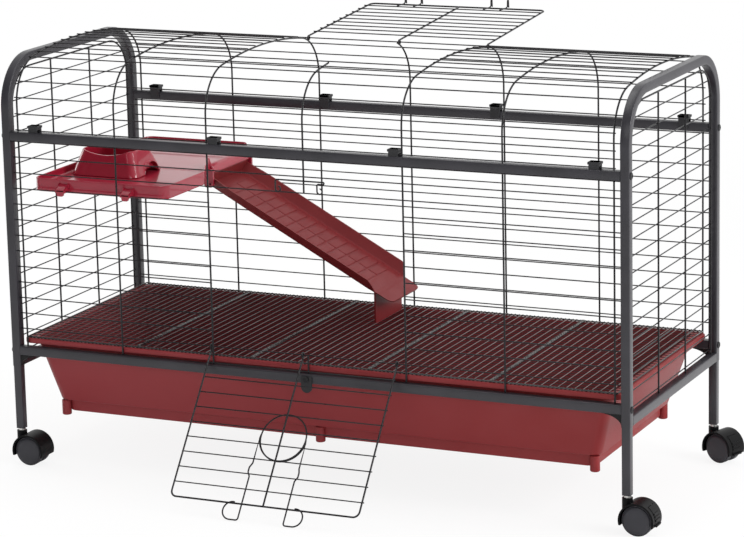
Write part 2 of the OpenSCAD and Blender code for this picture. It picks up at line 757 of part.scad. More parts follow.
// Mesh floor: a border of four bars, bars along X and, on them, bars along Y.
// The panels meet at four wider bars. No bar reaches another one by mesh_play.
module floor_mesh() {
  nx = 2 * floor(mesh_x / mesh_pitch) + 1;
  ny = 2 * floor(mesh_y / mesh_pitch) + 1;
  long = 2 * (mesh_x - border - mesh_play);
  wide = 2 * (mesh_y - border - mesh_play);
  t = (mesh_t - mesh_play) / 2;
  top = mesh_z + border;
  clear = (mesh_bar + border) / 2 + mesh_play;
  module bar(x, y, z, size) translate([x, y, z]) cube(size, center = true);
  color(black) {
    for (s = [-1, 1]) {
      bar(0, s * (mesh_y - border / 2), top - border / 2, [2 * mesh_x, border, border]);
      bar(s * (mesh_x - border / 2), 0, top - border / 2, [border, wide, border]);
      for (n = [1, 3]) bar(s * n * seam_x, 0, top - t / 2, [border, wide, t]);
    }
    for (k = [1 : ny - 1])
      bar(0, (k - ny / 2) * mesh_pitch, top - mesh_t + t / 2, [long, mesh_bar, t]);
    for (k = [1 : nx - 1]) {
      x = (k - nx / 2) * mesh_pitch;
      if (min(abs(abs(x) - seam_x), abs(abs(x) - 3 * seam_x)) > clear)
        bar(x, 0, top - t / 2, [mesh_bar, wide, t]);
    }
  }
}

module slab(x, y, z, h, r) {
  translate([0, 0, z]) for (sx = [-1, 1]) for (sy = [-1, 1])
    translate([sx * (x - r), sy * (y - r), 0]) cylinder(h = h, r = r);
}

module tapered(x0, y0, z0, x1, y1, z1, r) {
  hull() {
    slab(x0, y0, z0, 0.01, r);
    slab(x1, y1, z1 - 0.01, 0.01, r);
  }
}

// Litter tray hung by its rim on the lower rails
module tray() {
  w = tray_wall;
  low_x = wall_top_x - end_lean * tray_depth;
  low_y = wall_top_y - side_lean * tray_depth;
  foot_x = low_x - foot_r - 2;
  color(tray_red) translate([tray_x, 0, 0]) difference() {
    union() {
      tapered(low_x, low_y, tray_z, wall_top_x, wall_top_y, long_rail_top, tray_corner);
      translate([-rim_x, -rim_y, long_rail_top]) cube([2 * rim_x, 2 * rim_y, rim_h]);
      tapered(low_x - base_step - 1, low_y - base_step - 1, tray_z - base_h,
        low_x - base_step, low_y - base_step, tray_z + 1, tray_corner);
      for (x = [-foot_x, 0, foot_x]) for (s = [-1, 1])
        rod_z(tray_z - base_h - foot_h, tray_z + 1, x, s * (low_y - foot_r), foot_r);
    }
    tapered(low_x - w, low_y - w, tray_z + w, wall_top_x - w, wall_top_y - w,
      long_rail_top + rim_h + 1, tray_corner - w);
    translate([0, 0, long_rail_top - 1]) linear_extrude(rim_h - w + 1) difference() {
      square([2 * (rim_x - w), 2 * (rim_y - w + 0.5)], center = true);
      square([2 * wall_top_x, 2 * wall_top_y], center = true);
    }
    tapered(low_x - base_step - w - 1, low_y - base_step - w - 1, tray_z - base_h + w,
      low_x - base_step - w, low_y - base_step - w, tray_z + w + 1, tray_corner - w);
  }
}

lock_z = long_rail_z + tube / 2;

module tray_lock() {
  y = -cage_dep / 2;
  low = lock_h - lock_w / 2 - tube / 2 + 1;
  color(steel) difference() {
    union() {
      translate([-lock_w / 2, y - lock_t, lock_z - low]) cube([lock_w, lock_t, low + tube / 2 - 3]);
      rod_y(y - lock_t, y, 0, lock_z - low, lock_w / 2);
    }
    rod_y(y - lock_t - 1, y + 1, 0, lock_z, shank_r + pin_gap);
  }
}

module tray_lock_screw() {
  y = -cage_dep / 2 - lock_t;
  color(steel) {
    rod_y(y - 2.2, y, 0, lock_z, head_r - 1);
    rod_y(y - 0.5, y + lock_t + tube / 2 - 1, 0, lock_z, shank_r);
  }
}

// Shelf: a deck with a rim and a skirt, open at the landing, with wall hooks
module shelf() {
  t = shelf_t;
  low = deck_z - shelf_skirt;
  top = deck_z + shelf_rim;
  in = inset(shelf_plan, t);
  lip = 14;
  hook_z = wire_z0 + round((deck_z - wire_z0) / wire_pitch - 0.3) * wire_pitch;
  ears = [ramp_y - ramp_w / 2 - 4 - 0.5, ramp_y + ramp_w / 2 + 0.5];
  color(shelf_red) difference() {
    union() {
      difference() {
        translate([0, 0, low]) linear_extrude(top - low) polygon(shelf_plan);
        translate([0, 0, deck_z]) linear_extrude(top) polygon(in);
        translate([0, 0, low - 1]) linear_extrude(shelf_skirt - t + 1) polygon(in);
        translate([landing_x - 2 * t, landing_y + t, deck_z])
          cube([4 * t, landing_back - landing_y, shelf_rim + 1]);
      }
      // Curved lip at the landing
      translate([landing_x - lip + 6, landing_y + t, deck_z - lip]) rotate([-90, 0, 0])
        rotate([0, 0, -90]) difference() {
          intersection() {
            cylinder(h = landing_back - landing_y, r = lip);
            cube([lip, lip, landing_back - landing_y]);
          }
          translate([0, 0, -1]) cylinder(h = landing_back, r = lip - t);
        }
      // Ears that carry the ramp's pivots
      for (y = ears) translate([landing_x - 8, y, ramp_pin.y - 6])
        cube([ramp_pin.x - landing_x + 14, 4, deck_z - t - ramp_pin.y + 6 + 0.5]);
      // Hooks round a cross wire of the front and the rear panel
      for (m = [0, 1]) mirror([0, m, 0])
        for (x = shelf_hook_x) translate([shelf_x0 + x, 0, 0]) shelf_hook(hook_z);
    }
    for (y = ears) rod_y(y - 1, y + 5, ramp_pin.x, ramp_pin.y, pivot_r + pin_gap);
  }
}

// Hook with its mouth down over a cross wire at height z, growing from the skirt
module shelf_hook(z) {
  r = cross_r + 0.4;
  t = 2.5;
  reach = panel_y + r + t;
  profile = [[shelf_y - 1, z + r], [shelf_y - 1, z + 13], [shelf_y + 3, z + 13],
    [reach, z + r + t], [reach, z - 11], [reach - t, z - 11], [reach - t, z + r]];
  rotate([90, 0, 90]) linear_extrude(shelf_hook_w) polygon(profile);
}

// Place of the ramp's pivot as [x, z]
ramp_pin = [ramp_x + pin_u * cos(ramp_slope) + pin_w * sin(ramp_slope),
  ramp_z - pin_u * sin(ramp_slope) + pin_w * cos(ramp_slope)];

// Ramp: a channel with treads, a tongue and a leg that stands on the mesh
module ramp() {
  t = ramp_t;
  leg_u = ramp_len;
  tread_w = (ramp_w - 2 * ramp_margin) / 2;
  leg_x = ramp_x + leg_u * cos(ramp_slope);
  leg_top = ramp_z - leg_u * sin(ramp_slope);
  tread_n = floor((ramp_len - 50) / tread_pitch);
  color(shelf_red) union() {
    translate([ramp_x, ramp_y, ramp_z]) rotate([0, ramp_slope, 0]) {
      translate([0, -ramp_w / 2, 0]) difference() {
        cube([ramp_len, ramp_w, ramp_wall]);
        translate([-1, t, t]) cube([ramp_len + 2, ramp_w - 2 * t, ramp_wall]);
        for (k = [0 : 1]) translate([ramp_len, k * ramp_w, ramp_wall]) rotate([0, 45, 0])
          cube([18, 4 * t, 18], center = true);
      }
      translate([ramp_len - 1, -ramp_w / 2 + t, 0]) cube([tongue - 12, ramp_w - 2 * t, t]);
      for (s = [-1, 1]) translate([ramp_len + tongue - 14, s * (ramp_w / 2 - t - 12), 0])
        cylinder(h = t, r = 12);
      translate([ramp_len + tongue - 15, -ramp_w / 2 + t + 12, 0])
        cube([13, ramp_w - 2 * t - 24, t]);
      for (k = [0 : tread_n]) for (y = [-tread_w, 1])
        translate([26 + k * tread_pitch, y, t - 0.5])
          cube([tread_pitch - tread_gap, tread_w - 1, 2]);
      translate([8, -ramp_w / 2 + t - 1, t - 0.5]) cube([4, ramp_w - 2 * t + 2, 5]);
      for (s = [-1, 1]) translate([pin_u, s * (ramp_w / 2 + 1), pin_w]) rotate([90, 0, 0])
        cylinder(h = 7, r = pivot_r, center = true);
    }
    translate([leg_x - t, ramp_y - tread_w - t, mesh_z + border + 0.2])
      cube([t, 2 * (tread_w + t), leg_top - mesh_z - border + 1.5]);
  }
}

// Dish: a bowl with leaning walls, a dipped rim and an arch at its right end
module dish() {
  w = dish_wall;
  z0 = deck_z + 0.2;
  dx = dish_len / 2;
  dy = dish_dep / 2;
  in = dish_lean * dish_h;
  color(shelf_red) translate([shelf_x0 + dish_side + dx, -shelf_y + dish_front + dy, z0]) difference() {
    tapered(dx, dy, 0, dx - in, dy - in, dish_h, 14);
    tapered(dx - w - 1.5, dy - w - 1.5, w + 4, dx - in - w, dy - in - w, dish_h + 0.5, 12);
    translate([0, -dy, dish_h + dip_r - dip_deep]) rotate([90, 0, 0])
      cylinder(h = dish_dep, r = dip_r, center = true, $fn = 64);
    translate([dx - 12, dy - arch_inset, -1]) rotate([0, 90, 20])
      cylinder(h = 40, r = arch_r, center = true, $fn = 48);
  }
}

// Casters: a hood that turns on the stem and a pair of wheels on one axle
module caster_at(sx, sy, turn) {
  translate([sx * post_x, sy * post_y, 0]) rotate([0, 0, turn]) children();
}

collar_h = 4;
neck_top = caster_h - collar_h;

module caster_stems() {
  color(zinc) for (sx = [-1, 1]) for (sy = [-1, 1]) translate([sx * post_x, sy * post_y, 0]) {
    translate([0, 0, neck_top - 8]) cylinder(h = foot_len + 8, r = stem_r);
    translate([0, 0, neck_top + 0.3]) cylinder(h = collar_h - 0.3, r = stem_r + 2);
  }
}

module hood(brake) {
  w = wheel_w + 2;
  open_r = wheel_r + wheel_gap + 0.2;
  color(black) difference() {
    union() {
      translate([trail, w / 2, wheel_r]) rotate([90, 0, 0]) cylinder(h = w, r = hood_r, $fn = 64);
      translate([0, 0, wheel_r]) cylinder(h = neck_top - wheel_r, r = stem_r + 4.5);
    }
    for (s = [-1, 1]) translate([trail, s * (web / 2 + w) , wheel_r]) rotate([90, 0, 0])
      cylinder(h = 2 * w, r = open_r, center = true, $fn = 64);
    translate([trail, 0, 0]) cube([4 * hood_r, 4 * hood_r, 2 * (wheel_r - 8)], center = true);
    rod_z(neck_top - 10, neck_top + 1, 0, 0, stem_r + pin_gap);
    rod_y(-web, web, trail, wheel_r, axle_r + pin_gap);
    if (brake) brake_window();
  }
}

brake_w = 22;
brake_pin = [trail + (hood_r - 1) * cos(47), wheel_r + (hood_r - 1) * sin(47)];

// Window in the trailing side of the hood, with a seat for the lever's pivot
module brake_window() {
  translate([trail, 0, wheel_r]) rotate([90, 0, 0])
    rotate([0, 0, -24]) rotate_extrude(angle = 78, $fn = 64)
      translate([wheel_r + wheel_gap - 0.4, -brake_w / 2 - 0.6]) square([12, brake_w + 1.2]);
  rod_y(-brake_w / 2 - 2.6, brake_w / 2 + 2.6, brake_pin.x, brake_pin.y, 1.2 + pin_gap);
}

// Brake lever, hinged at its upper edge, with three grip ribs
module brake_lever() {
  inner = wheel_r + wheel_gap + 0.6;
  color(black) {
    translate([trail, brake_w / 2, wheel_r]) rotate([90, 0, 0]) {
      rotate([0, 0, -16]) rotate_extrude(angle = 68, $fn = 64)
        translate([inner, 0]) square([hood_r + 0.5 - inner, brake_w]);
      for (a = [2, 12, 22]) rotate([0, 0, a]) translate([hood_r - 0.6, 0, 1])
        cube([2, 2.2, brake_w - 2]);
      rotate([0, 0, -15]) translate([hood_r - 1, 0, 1]) cube([4, 3, brake_w - 2]);
    }
    rod_y(-brake_w / 2 - 2, brake_w / 2 + 2, brake_pin.x, brake_pin.y, 1.2);
  }
}

module wheel_pair() {
  inner = web / 2 + 0.8;
  profile = [[axle_r - 0.5, 0], [wheel_r - 2, 0], [wheel_r, 2], [wheel_r, wheel_w / 2 - inner - 4],
    [wheel_r - 3.5, wheel_w / 2 - inner - 1], [wheel_r - 12, wheel_w / 2 - inner],
    [axle_r - 0.5, wheel_w / 2 - inner]];
  color(black) translate([trail, 0, wheel_r]) {
    for (s = [0, 1]) mirror([0, s, 0]) translate([0, inner, 0]) rotate([-90, 0, 0])
      rotate_extrude($fn = 64) polygon(profile);
    rod_y(-wheel_w / 2 + 0.5, wheel_w / 2 - 0.5, 0, 0, axle_r);
  }
}

module front_left_hood() caster_at(-1, -1, 0) hood(false);
module front_right_hood() caster_at(1, -1, 0) hood(true);
module rear_left_hood() caster_at(-1, 1, rear_left_turn) hood(false);
module rear_right_hood() caster_at(1, 1, rear_right_turn) hood(true);
module front_left_wheels() caster_at(-1, -1, 0) wheel_pair();
module front_right_wheels() caster_at(1, -1, 0) wheel_pair();
module rear_left_wheels() caster_at(-1, 1, rear_left_turn) wheel_pair();
module rear_right_wheels() caster_at(1, 1, rear_right_turn) wheel_pair();
module front_right_brake() caster_at(1, -1, 0) brake_lever();
module rear_right_brake() caster_at(1, 1, rear_right_turn) brake_lever();

left_hoop();
right_hoop();
left_end_rail();
right_end_rail();
front_lower_rail();
rear_lower_rail();
front_mid_rail();
rear_mid_rail();
leg_front_left();
leg_front_right();
leg_rear_left();
leg_rear_right();
corner_gussets();
frame_screws();
dome_clips();
front_panel();
rear_panel();
left_end_panel();
right_end_panel();
dome_panel();
latch_keeper();
front_door();
front_door_latch();
top_door();
top_door_hooks();
floor_mesh();
tray();
tray_lock();
tray_lock_screw();
shelf();
ramp();
dish();
caster_stems();
front_left_hood();
front_right_hood();
rear_left_hood();
rear_right_hood();
front_left_wheels();
front_right_wheels();
rear_left_wheels();
rear_right_wheels();
front_right_brake();
rear_right_brake();
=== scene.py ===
import math
import bpy
import numpy as np
from mathutils import Matrix, Vector


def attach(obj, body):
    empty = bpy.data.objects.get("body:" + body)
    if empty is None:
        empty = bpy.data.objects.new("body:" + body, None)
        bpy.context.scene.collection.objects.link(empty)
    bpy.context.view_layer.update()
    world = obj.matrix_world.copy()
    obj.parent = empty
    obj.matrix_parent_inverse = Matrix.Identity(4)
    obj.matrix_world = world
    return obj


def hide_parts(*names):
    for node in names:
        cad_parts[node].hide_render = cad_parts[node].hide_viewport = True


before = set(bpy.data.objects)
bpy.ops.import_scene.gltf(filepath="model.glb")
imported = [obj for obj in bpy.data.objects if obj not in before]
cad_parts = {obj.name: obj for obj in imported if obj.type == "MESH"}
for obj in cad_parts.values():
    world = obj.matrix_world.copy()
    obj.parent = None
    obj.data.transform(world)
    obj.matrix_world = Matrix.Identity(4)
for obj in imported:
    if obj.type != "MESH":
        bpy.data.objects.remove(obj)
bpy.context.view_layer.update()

# Sizes are in millimetres, as in the part's source, and become metres in addPiece.
mm = 0.001
axisX, axisY, axisZ = np.eye(3)

cage = {
    "length": 1100, "depth": 438, "tube": 15, "edge": 1.6, "hoopTop": 694, "hoopBend": 85,
    "joint": 170, "lowerRail": 190, "midRail": 556, "legTube": 14, "legFoot": 61, "post": 1.5,
    "cross": 1.0, "sunk": 0.5, "touch": 0.3, "wirePitch": 26.6, "firstWire": 29.5, "rows": 12}
tubeHalf = cage["tube"] / 2
postX = (cage["length"] - cage["tube"]) / 2
postY = (cage["depth"] - cage["tube"]) / 2
inX = cage["length"] / 2 - cage["tube"]
inY = cage["depth"] / 2 - cage["tube"]
railTop = cage["lowerRail"] + cage["tube"]
midTop = cage["midRail"] + cage["tube"]
postWire, crossWire, pitch = cage["post"], cage["cross"], cage["wirePitch"]
touch = cage["touch"]  # play of a loose wire, or depth of its weld
layer = postWire + crossWire - cage["sunk"]
wireZ = railTop + cage["firstWire"]


# Unit vectors along the last axis of an array
def unit(v):
    return v / np.linalg.norm(v, axis=-1, keepdims=True)


# Points from three coordinates, numbers or arrays whose shapes broadcast
def xyz(x, y, z):
    return np.stack(np.broadcast_arrays(x, y, z), -1).astype(float)


# Flat points put into space, where coordinate k is the same for all of them
def inPlane(flat, k, value):
    return np.insert(np.asarray(flat, float), k, value, axis=-1)


# Angles of points spread evenly round a circle
def around(sides):
    return np.linspace(0, 2 * np.pi, sides + 1)[:-1]


# Points c + r (cos t a + sin t b) for t from start to stop, in degrees
def arc(centre, radius, a, b, start, stop, steps):
    t = np.radians(np.linspace(start, stop, steps + 1))[:, None]
    return np.array(centre, float) + radius * (np.cos(t) * a + np.sin(t) * b)


# Every corner becomes an arc that touches both its sides. The arc's points are
# the sine-weighted means of the two touching points, seen from its centre. An
# open path keeps its two end points.
def filleted(corners, radii, steps=5, closed=True):
    p = np.array(corners, float)
    r = np.broadcast_to(np.asarray(radii, float).reshape(-1, 1), (len(p), 1))
    a, b = np.roll(p, 1, 0) - p, np.roll(p, -1, 0) - p
    first, last = (p[:0], p[:0]) if closed else (p[:1], p[-1:])
    if not closed:
        p, r, a, b = (v[1:-1] for v in (p, r, a, b))
    a, b = unit(a), unit(b)
    half = np.arccos(np.clip((a * b).sum(-1), -1, 1))[:, None] / 2
    centre = p + unit(a + b) * r / np.sin(half)
    start = (p + a * r / np.tan(half) - centre)[:, None]
    stop = (p + b * r / np.tan(half) - centre)[:, None]
    span = (math.pi - 2 * half)[:, None]
    t = np.linspace(0, 1, steps + 1)[None, :, None]
    arcs = (np.sin((1 - t) * span) * start + np.sin(t * span) * stop) / np.sin(span)
    return np.concatenate([first, (arcs + centre[:, None]).reshape(-1, p.shape[1]), last])


# A route's points spread again at even steps along its length
def evened(points, count, closed=True):
    p = np.concatenate([points, points[:1]]) if closed else np.asarray(points, float)
    along = np.concatenate([[0], np.cumsum(np.linalg.norm(np.diff(p, axis=0), axis=1))])
    at = np.linspace(0, along[-1], count, endpoint=not closed)
    return np.stack([np.interp(at, along, p[:, k]) for k in range(p.shape[1])], 1)


# Outline of a rectangle with rounded corners, counter-clockwise. Half sizes and
# radius may be arrays of any one shape.
def roundedRect(halfX, halfY, radius, steps=6):
    halfX, halfY, radius = (np.asarray(v, float)[..., None] for v in (halfX, halfY, radius))
    t = np.linspace(0, 90, steps + 1)
    t = np.radians(np.concatenate([t, t + 90, t + 180, t + 270]))
    sx = np.repeat([1, -1, -1, 1], steps + 1)
    sy = np.repeat([1, 1, -1, -1], steps + 1)
    return np.stack([sx * (halfX - radius) + radius * np.cos(t),
                     sy * (halfY - radius) + radius * np.sin(t)], -1)


# Quads between m stacked rings of s points
def ringQuads(m, s):
    at = np.arange(m * s).reshape(m, s)
    on = np.roll(at, -1, 1)
    return np.stack([at[:-1], on[:-1], on[1:], at[1:]], -1).reshape(-1, 4)


# Closed skin over a stack of rings of equal count (batch, ring, point, xyz),
# from a pole before the first ring to a pole after the last one
def lofted(rings, start, stop):
    rings = np.array(rings, float, ndmin=4)
    start, stop = (np.array(pole, float, ndmin=2)[:, None] for pole in (start, stop))
    n, m, s, _ = rings.shape
    points = np.concatenate([rings.reshape(n, -1, 3), start, stop], 1)
    at, last = np.arange(s), (m - 1) * s
    on = np.roll(at, -1)
    fans = np.concatenate([np.stack([np.full(s, m * s), on, at], -1),
                           np.stack([np.full(s, m * s + 1), at + last, on + last], -1)])
    step = (m * s + 2) * np.arange(n)[:, None, None]
    return points.reshape(-1, 3), [(ringQuads(m, s) + step).reshape(-1, 4),
                                   (fans + step).reshape(-1, 3)]


# Flat section (u, v) carried along routes (batch, point, xyz), u nearest to up.
# At a bend it stands square to the mean of the two directions.
def swept(routes, section, up):
    routes = np.array(routes, float, ndmin=3)
    ways = unit(np.diff(routes, axis=1))
    t = np.concatenate([ways[:, :1], unit(ways[:, 1:] + ways[:, :-1]), ways[:, -1:]], 1)
    up = np.asarray(up, float)
    u = unit(up - (t * up).sum(-1, keepdims=True) * t)
    v = np.cross(t, u)
    section = np.broadcast_to(section, routes.shape[:2] + np.shape(section)[-2:])
    rings = routes[:, :, None] + section[..., :1] * u[:, :, None] + section[..., 1:] * v[:, :, None]
    return lofted(rings, routes[:, 0], routes[:, -1])


# Domed end of a wire: the circle's size at steps along it, both in radii
wireEnd = {"size": [0.02, 0.5, 0.866, 1], "along": [0, 0.13, 0.5, 1]}


# Round wires whose circle shrinks at both ends as a ball's does
def wires(routes, radius, up=(0, 0, 1), sides=10):
    routes = np.array(routes, float, ndmin=3)
    head = unit(routes[:, 1] - routes[:, 0])[:, None]
    tail = unit(routes[:, -2] - routes[:, -1])[:, None]
    inset = radius * np.array(wireEnd["along"])[None, :, None]
    routes = np.concatenate([routes[:, :1] + head * inset, routes[:, 1:-1],
                             (routes[:, -1:] + tail * inset)[:, ::-1]], 1)
    middle = np.ones(routes.shape[1] - 2 * len(wireEnd["size"]))
    size = np.concatenate([wireEnd["size"], middle, wireEnd["size"][::-1]])
    circle = np.stack([np.cos(around(sides)), np.sin(around(sides))], -1)
    return swept(routes, radius * size[:, None, None] * circle, up)


# Straight wires from each point of a to the same point of b
def rods(a, b, radius, up=(0, 0, 1), sides=10):
    ends = np.stack(np.broadcast_arrays(np.asarray(a, float), np.asarray(b, float)), -2)
    return wires(ends.reshape(-1, 2, 3), radius, up, sides)


# Radii of the beads in long panels and doors, in end panels and in the dome
weld = {"long": (1.7, 1.2, 1.7), "end": (1.2, 1.7, 1.7), "dome": (1.7, 1.4, 1.4),
        "rings": [-55, 0, 55], "sides": 6}


# Small flattened balls, as the weld leaves where two wires cross: r times
# (cos a cos b, cos a sin b, sin a), a for the ring and b round it
def beads(points, kind):
    rise = np.radians(weld["rings"])[:, None]
    a = around(weld["sides"])
    ball = xyz(np.cos(rise) * np.cos(a), np.cos(rise) * np.sin(a), np.sin(rise))
    points = points.reshape(-1, 3)
    pole = weld[kind] * axisZ
    return lofted(points[:, None, None] + ball * weld[kind], points - pole, points + pole)


# Outline of points in a plane, given in 3D, thickened along depth
def slab(outline, depth):
    n = len(outline)
    at = np.arange(n)
    walls = np.stack([at, np.roll(at, -1), np.roll(at, -1) + n, at + n], -1)
    return np.concatenate([outline, outline + depth]), [walls, at[::-1][None], (at + n)[None]]


# Profile of (radius, height) turned about an axis, Y or Z, from a point on it
def turned(profile, base, axis, sides):
    side = unit(np.cross(axis, axisX))
    a = around(sides)[:, None]
    ring = np.cos(a) * side + np.sin(a) * np.cross(axis, side)
    profile = np.asarray(profile, float)
    rings = base + profile[:, :1, None] * ring + profile[:, 1:, None] * axis
    return lofted(rings, base + axis * profile[0, 1], base + axis * profile[-1, 1])


# Shapes as one: each shape's faces count on from the points before it
def joined(*shapes):
    start = np.cumsum([0] + [len(points) for points, _ in shapes])
    polys = [face + s for s, (_, faces) in zip(start, shapes) for face in faces]
    return np.concatenate([points for points, _ in shapes]), polys


# Shape turned by a 3x3 matrix and moved
def placed(shape, turn, move):
    return shape[0] @ turn.T + move, shape[1]


# A shape and its mirror image: one coordinate changes sign, and the faces' order
def both(shape, axis):
    flip = np.where(np.arange(3) == axis, -1, 1)
    return [shape, (shape[0] * flip, [face[:, ::-1] for face in shape[1]])]


# Turn by an angle in degrees about the axis of the given number
def turning(axis, angle):
    c, s = math.cos(math.radians(angle)), math.sin(math.radians(angle))
    i, j = (axis + 1) % 3, (axis + 2) % 3
    turn = np.eye(3)
    turn[[i, i, j, j], [i, j, i, j]] = c, -s, s, c
    return turn


rounding = {"segments": 2, "angle": 35, "sharp": 40}


# A shape as a piece on a body, in place of CAD nodes. A finish is a material
# and the slot that it stands for.
def addPiece(name, shape, body, finish, *nodes, bevel=0, sharp=rounding["sharp"]):
    points, polys = shape
    mesh = bpy.data.meshes.new(name)
    sizes = np.concatenate([np.full(len(face), face.shape[1]) for face in polys])
    corners = np.concatenate([face.ravel() for face in polys])
    mesh.vertices.add(len(points))
    mesh.vertices.foreach_set("co", (points * mm).ravel())
    mesh.loops.add(len(corners))
    mesh.loops.foreach_set("vertex_index", corners)
    mesh.polygons.add(len(sizes))
    mesh.polygons.foreach_set("loop_start", np.concatenate([[0], np.cumsum(sizes)[:-1]]))
    mesh.update(calc_edges=True)
    mesh.validate()
    mesh.shade_smooth()
    mesh.set_sharp_from_angle(angle=math.radians(180 if bevel else sharp))
    mesh.materials.append(finish[0])
    piece = bpy.data.objects.new(name, mesh)
    bpy.context.collection.objects.link(piece)
    if bevel:
        edges = piece.modifiers.new("edges", "BEVEL")
        edges.width = bevel * mm
        edges.segments = rounding["segments"]
        edges.limit_method = "ANGLE"
        edges.angle_limit = math.radians(rounding["angle"])
        edges.harden_normals = True
    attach(piece, body)
    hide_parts(*nodes)
    return piece


# One socket of a material, so that shader maths reads as plain sums
class Socket:
    def __init__(self, finish, out):
        self.finish = finish
        self.out = out

    def maths(self, operation, other):
        return self.finish.node("Math", {"operation": operation}, {0: self, 1: other})

    def __add__(self, other):
        return self.maths("ADD", other)

    def __mul__(self, other):
        return self.maths("MULTIPLY", other)

    __radd__ = __add__
    __rmul__ = __mul__


# A material or a world whose nodes are added one by one
class Finish:
    def __init__(self, name, store="materials"):
        self.owner = getattr(bpy.data, store).new(name)
        self.owner.use_nodes = True
        self.tree = self.owner.node_tree
        self.tree.nodes.clear()

    def node(self, kind, settings=None, values=None, output=0):
        made = self.tree.nodes.new("ShaderNode" + kind)
        for key, value in (settings or {}).items():
            if key == "stops":
                for n, (place, level) in enumerate(value):
                    made.color_ramp.elements[n].position = place
                    made.color_ramp.elements[n].color = (level, level, level, 1)
            else:
                setattr(made, key, value)
        for key, value in (values or {}).items():
            if isinstance(value, Socket):
                self.tree.links.new(value.out, made.inputs[key])
            else:
                made.inputs[key].default_value = value
        return Socket(self, made.outputs[output]) if made.outputs else None

    def place(self):
        return self.node("TexCoord", output="Object")

    # The place's part along X
    def across(self):
        return self.node("SeparateXYZ", values={0: self.place()})

    # Noise between 0 and 1 with a feature size in millimetres
    def noise(self, size, detail=2.0, roughness=0.5):
        return self.node("TexNoise", values={"Vector": self.place(), "Scale": 1 / (size * mm),
                                             "Detail": detail, "Roughness": roughness})

    # Level remapped by the two stops of a ramp
    def ramp(self, level, *stops):
        return self.node("ValToRGB", {"stops": stops}, {0: level})

    # From low to high in a smooth step while the level goes from start to stop
    def eased(self, level, start, stop, low, high):
        return self.node("MapRange", {"interpolation_type": "SMOOTHSTEP"},
                         dict(enumerate((level, start, stop, low, high))))

    # Mix of two colours, whose sockets are numbers 6 and 7 of the node
    def mixed(self, share, a, b):
        return self.node("Mix", {"data_type": "RGBA"}, {0: share, 6: a, 7: b}, 2)

    # Bump whose height is in millimetres
    def bump(self, height, depth):
        return self.node("Bump", values={"Height": height, "Distance": depth * mm})

    # One shader for the light in the scene, another for what the camera sees
    def toCamera(self, lit, seen):
        ray = self.node("LightPath", output="Is Camera Ray")
        return self.node("MixShader", values={0: ray, 1: lit, 2: seen})

    def surface(self, **sockets):
        values = {key.replace("_", " "): value for key, value in sockets.items()}
        shader = self.node("BsdfPrincipled", values=values)
        self.node("OutputMaterial", values={0: shader})
        return self.owner


def colour(r, g, b):
    return (r, g, b, 1.0)


# Square tube: dark paint with a fine orange peel and a few lighter patches
def tubePaint():
    look = {"base": colour(0.026, 0.025, 0.03), "light": colour(0.038, 0.036, 0.044),
            "patch": 60, "peel": 1.3, "depth": 0.03}
    f = Finish("tube_paint")
    peel = f.noise(look["peel"], 2)
    patch = f.ramp(f.noise(look["patch"], 3), (0.3, 0.0), (0.7, 1.0))
    return f.surface(Base_Color=f.mixed(patch, look["base"], look["light"]), IOR=1.45,
                     Roughness=0.24 + peel * 0.12, Normal=f.bump(peel, look["depth"]))


# Wire: thin black coating, a little uneven along its length
def wirePaint():
    f = Finish("wire_paint")
    run = f.noise(9, 2)
    tint = f.mixed(run, colour(0.008, 0.008, 0.009), colour(0.016, 0.015, 0.018))
    return f.surface(Base_Color=tint, Roughness=0.22 + run * 0.16, IOR=1.36,
                     Normal=f.bump(f.noise(1.6), 0.03))


# Fine mesh wire: dark, with grey patches of painted sheen, paler and warmer to the right, where more light
# falls
def meshWire():
    f = Finish("mesh_wire")
    run = f.noise(14, 3)
    right = f.ramp(f.across() * 0.9 + 0.5, (0.2, 0.0), (0.9, 1.0))
    # painted sheen: a pale grey that stands in for the glints of the lit wires
    paintedSheen = f.mixed(right, colour(0.16, 0.15, 0.155), colour(0.34, 0.25, 0.24))
    tint = f.mixed(run, colour(0.04, 0.033, 0.036), paintedSheen)
    return f.surface(Base_Color=tint, Roughness=0.25 + run * 0.2, IOR=1.5,
                     Normal=f.bump(f.noise(1.2), 0.04))


# Wound ties, very glossy, so that each turn has its own glint: the ties black, the seams' winding half
# metallic with pale grey patches, a painted highlight
def tieWire(name, dark, light, metal):
    f = Finish(name)
    run = f.ramp(f.noise(5, 2), (0.4, 0.0), (0.6, 1.0))
    return f.surface(Base_Color=f.mixed(run, dark, light), Roughness=0.12 + run * 0.1,
                     Normal=f.bump(f.noise(1.2), 0.02), IOR=1.6, Metallic=metal)


# Moulded black plastic with a fine matt grain and clouds of half as much again
def blackPlastic(name, base, rough, grain=0.03, index=1.4):
    f = Finish(name)
    fine = f.noise(0.8, 2)
    tint = f.mixed(f.noise(25, 2), base, colour(*(1.5 * v for v in base[:3])))
    return f.surface(Base_Color=tint, Roughness=rough + fine * 0.2,
                     Normal=f.bump(fine, grain), IOR=index)
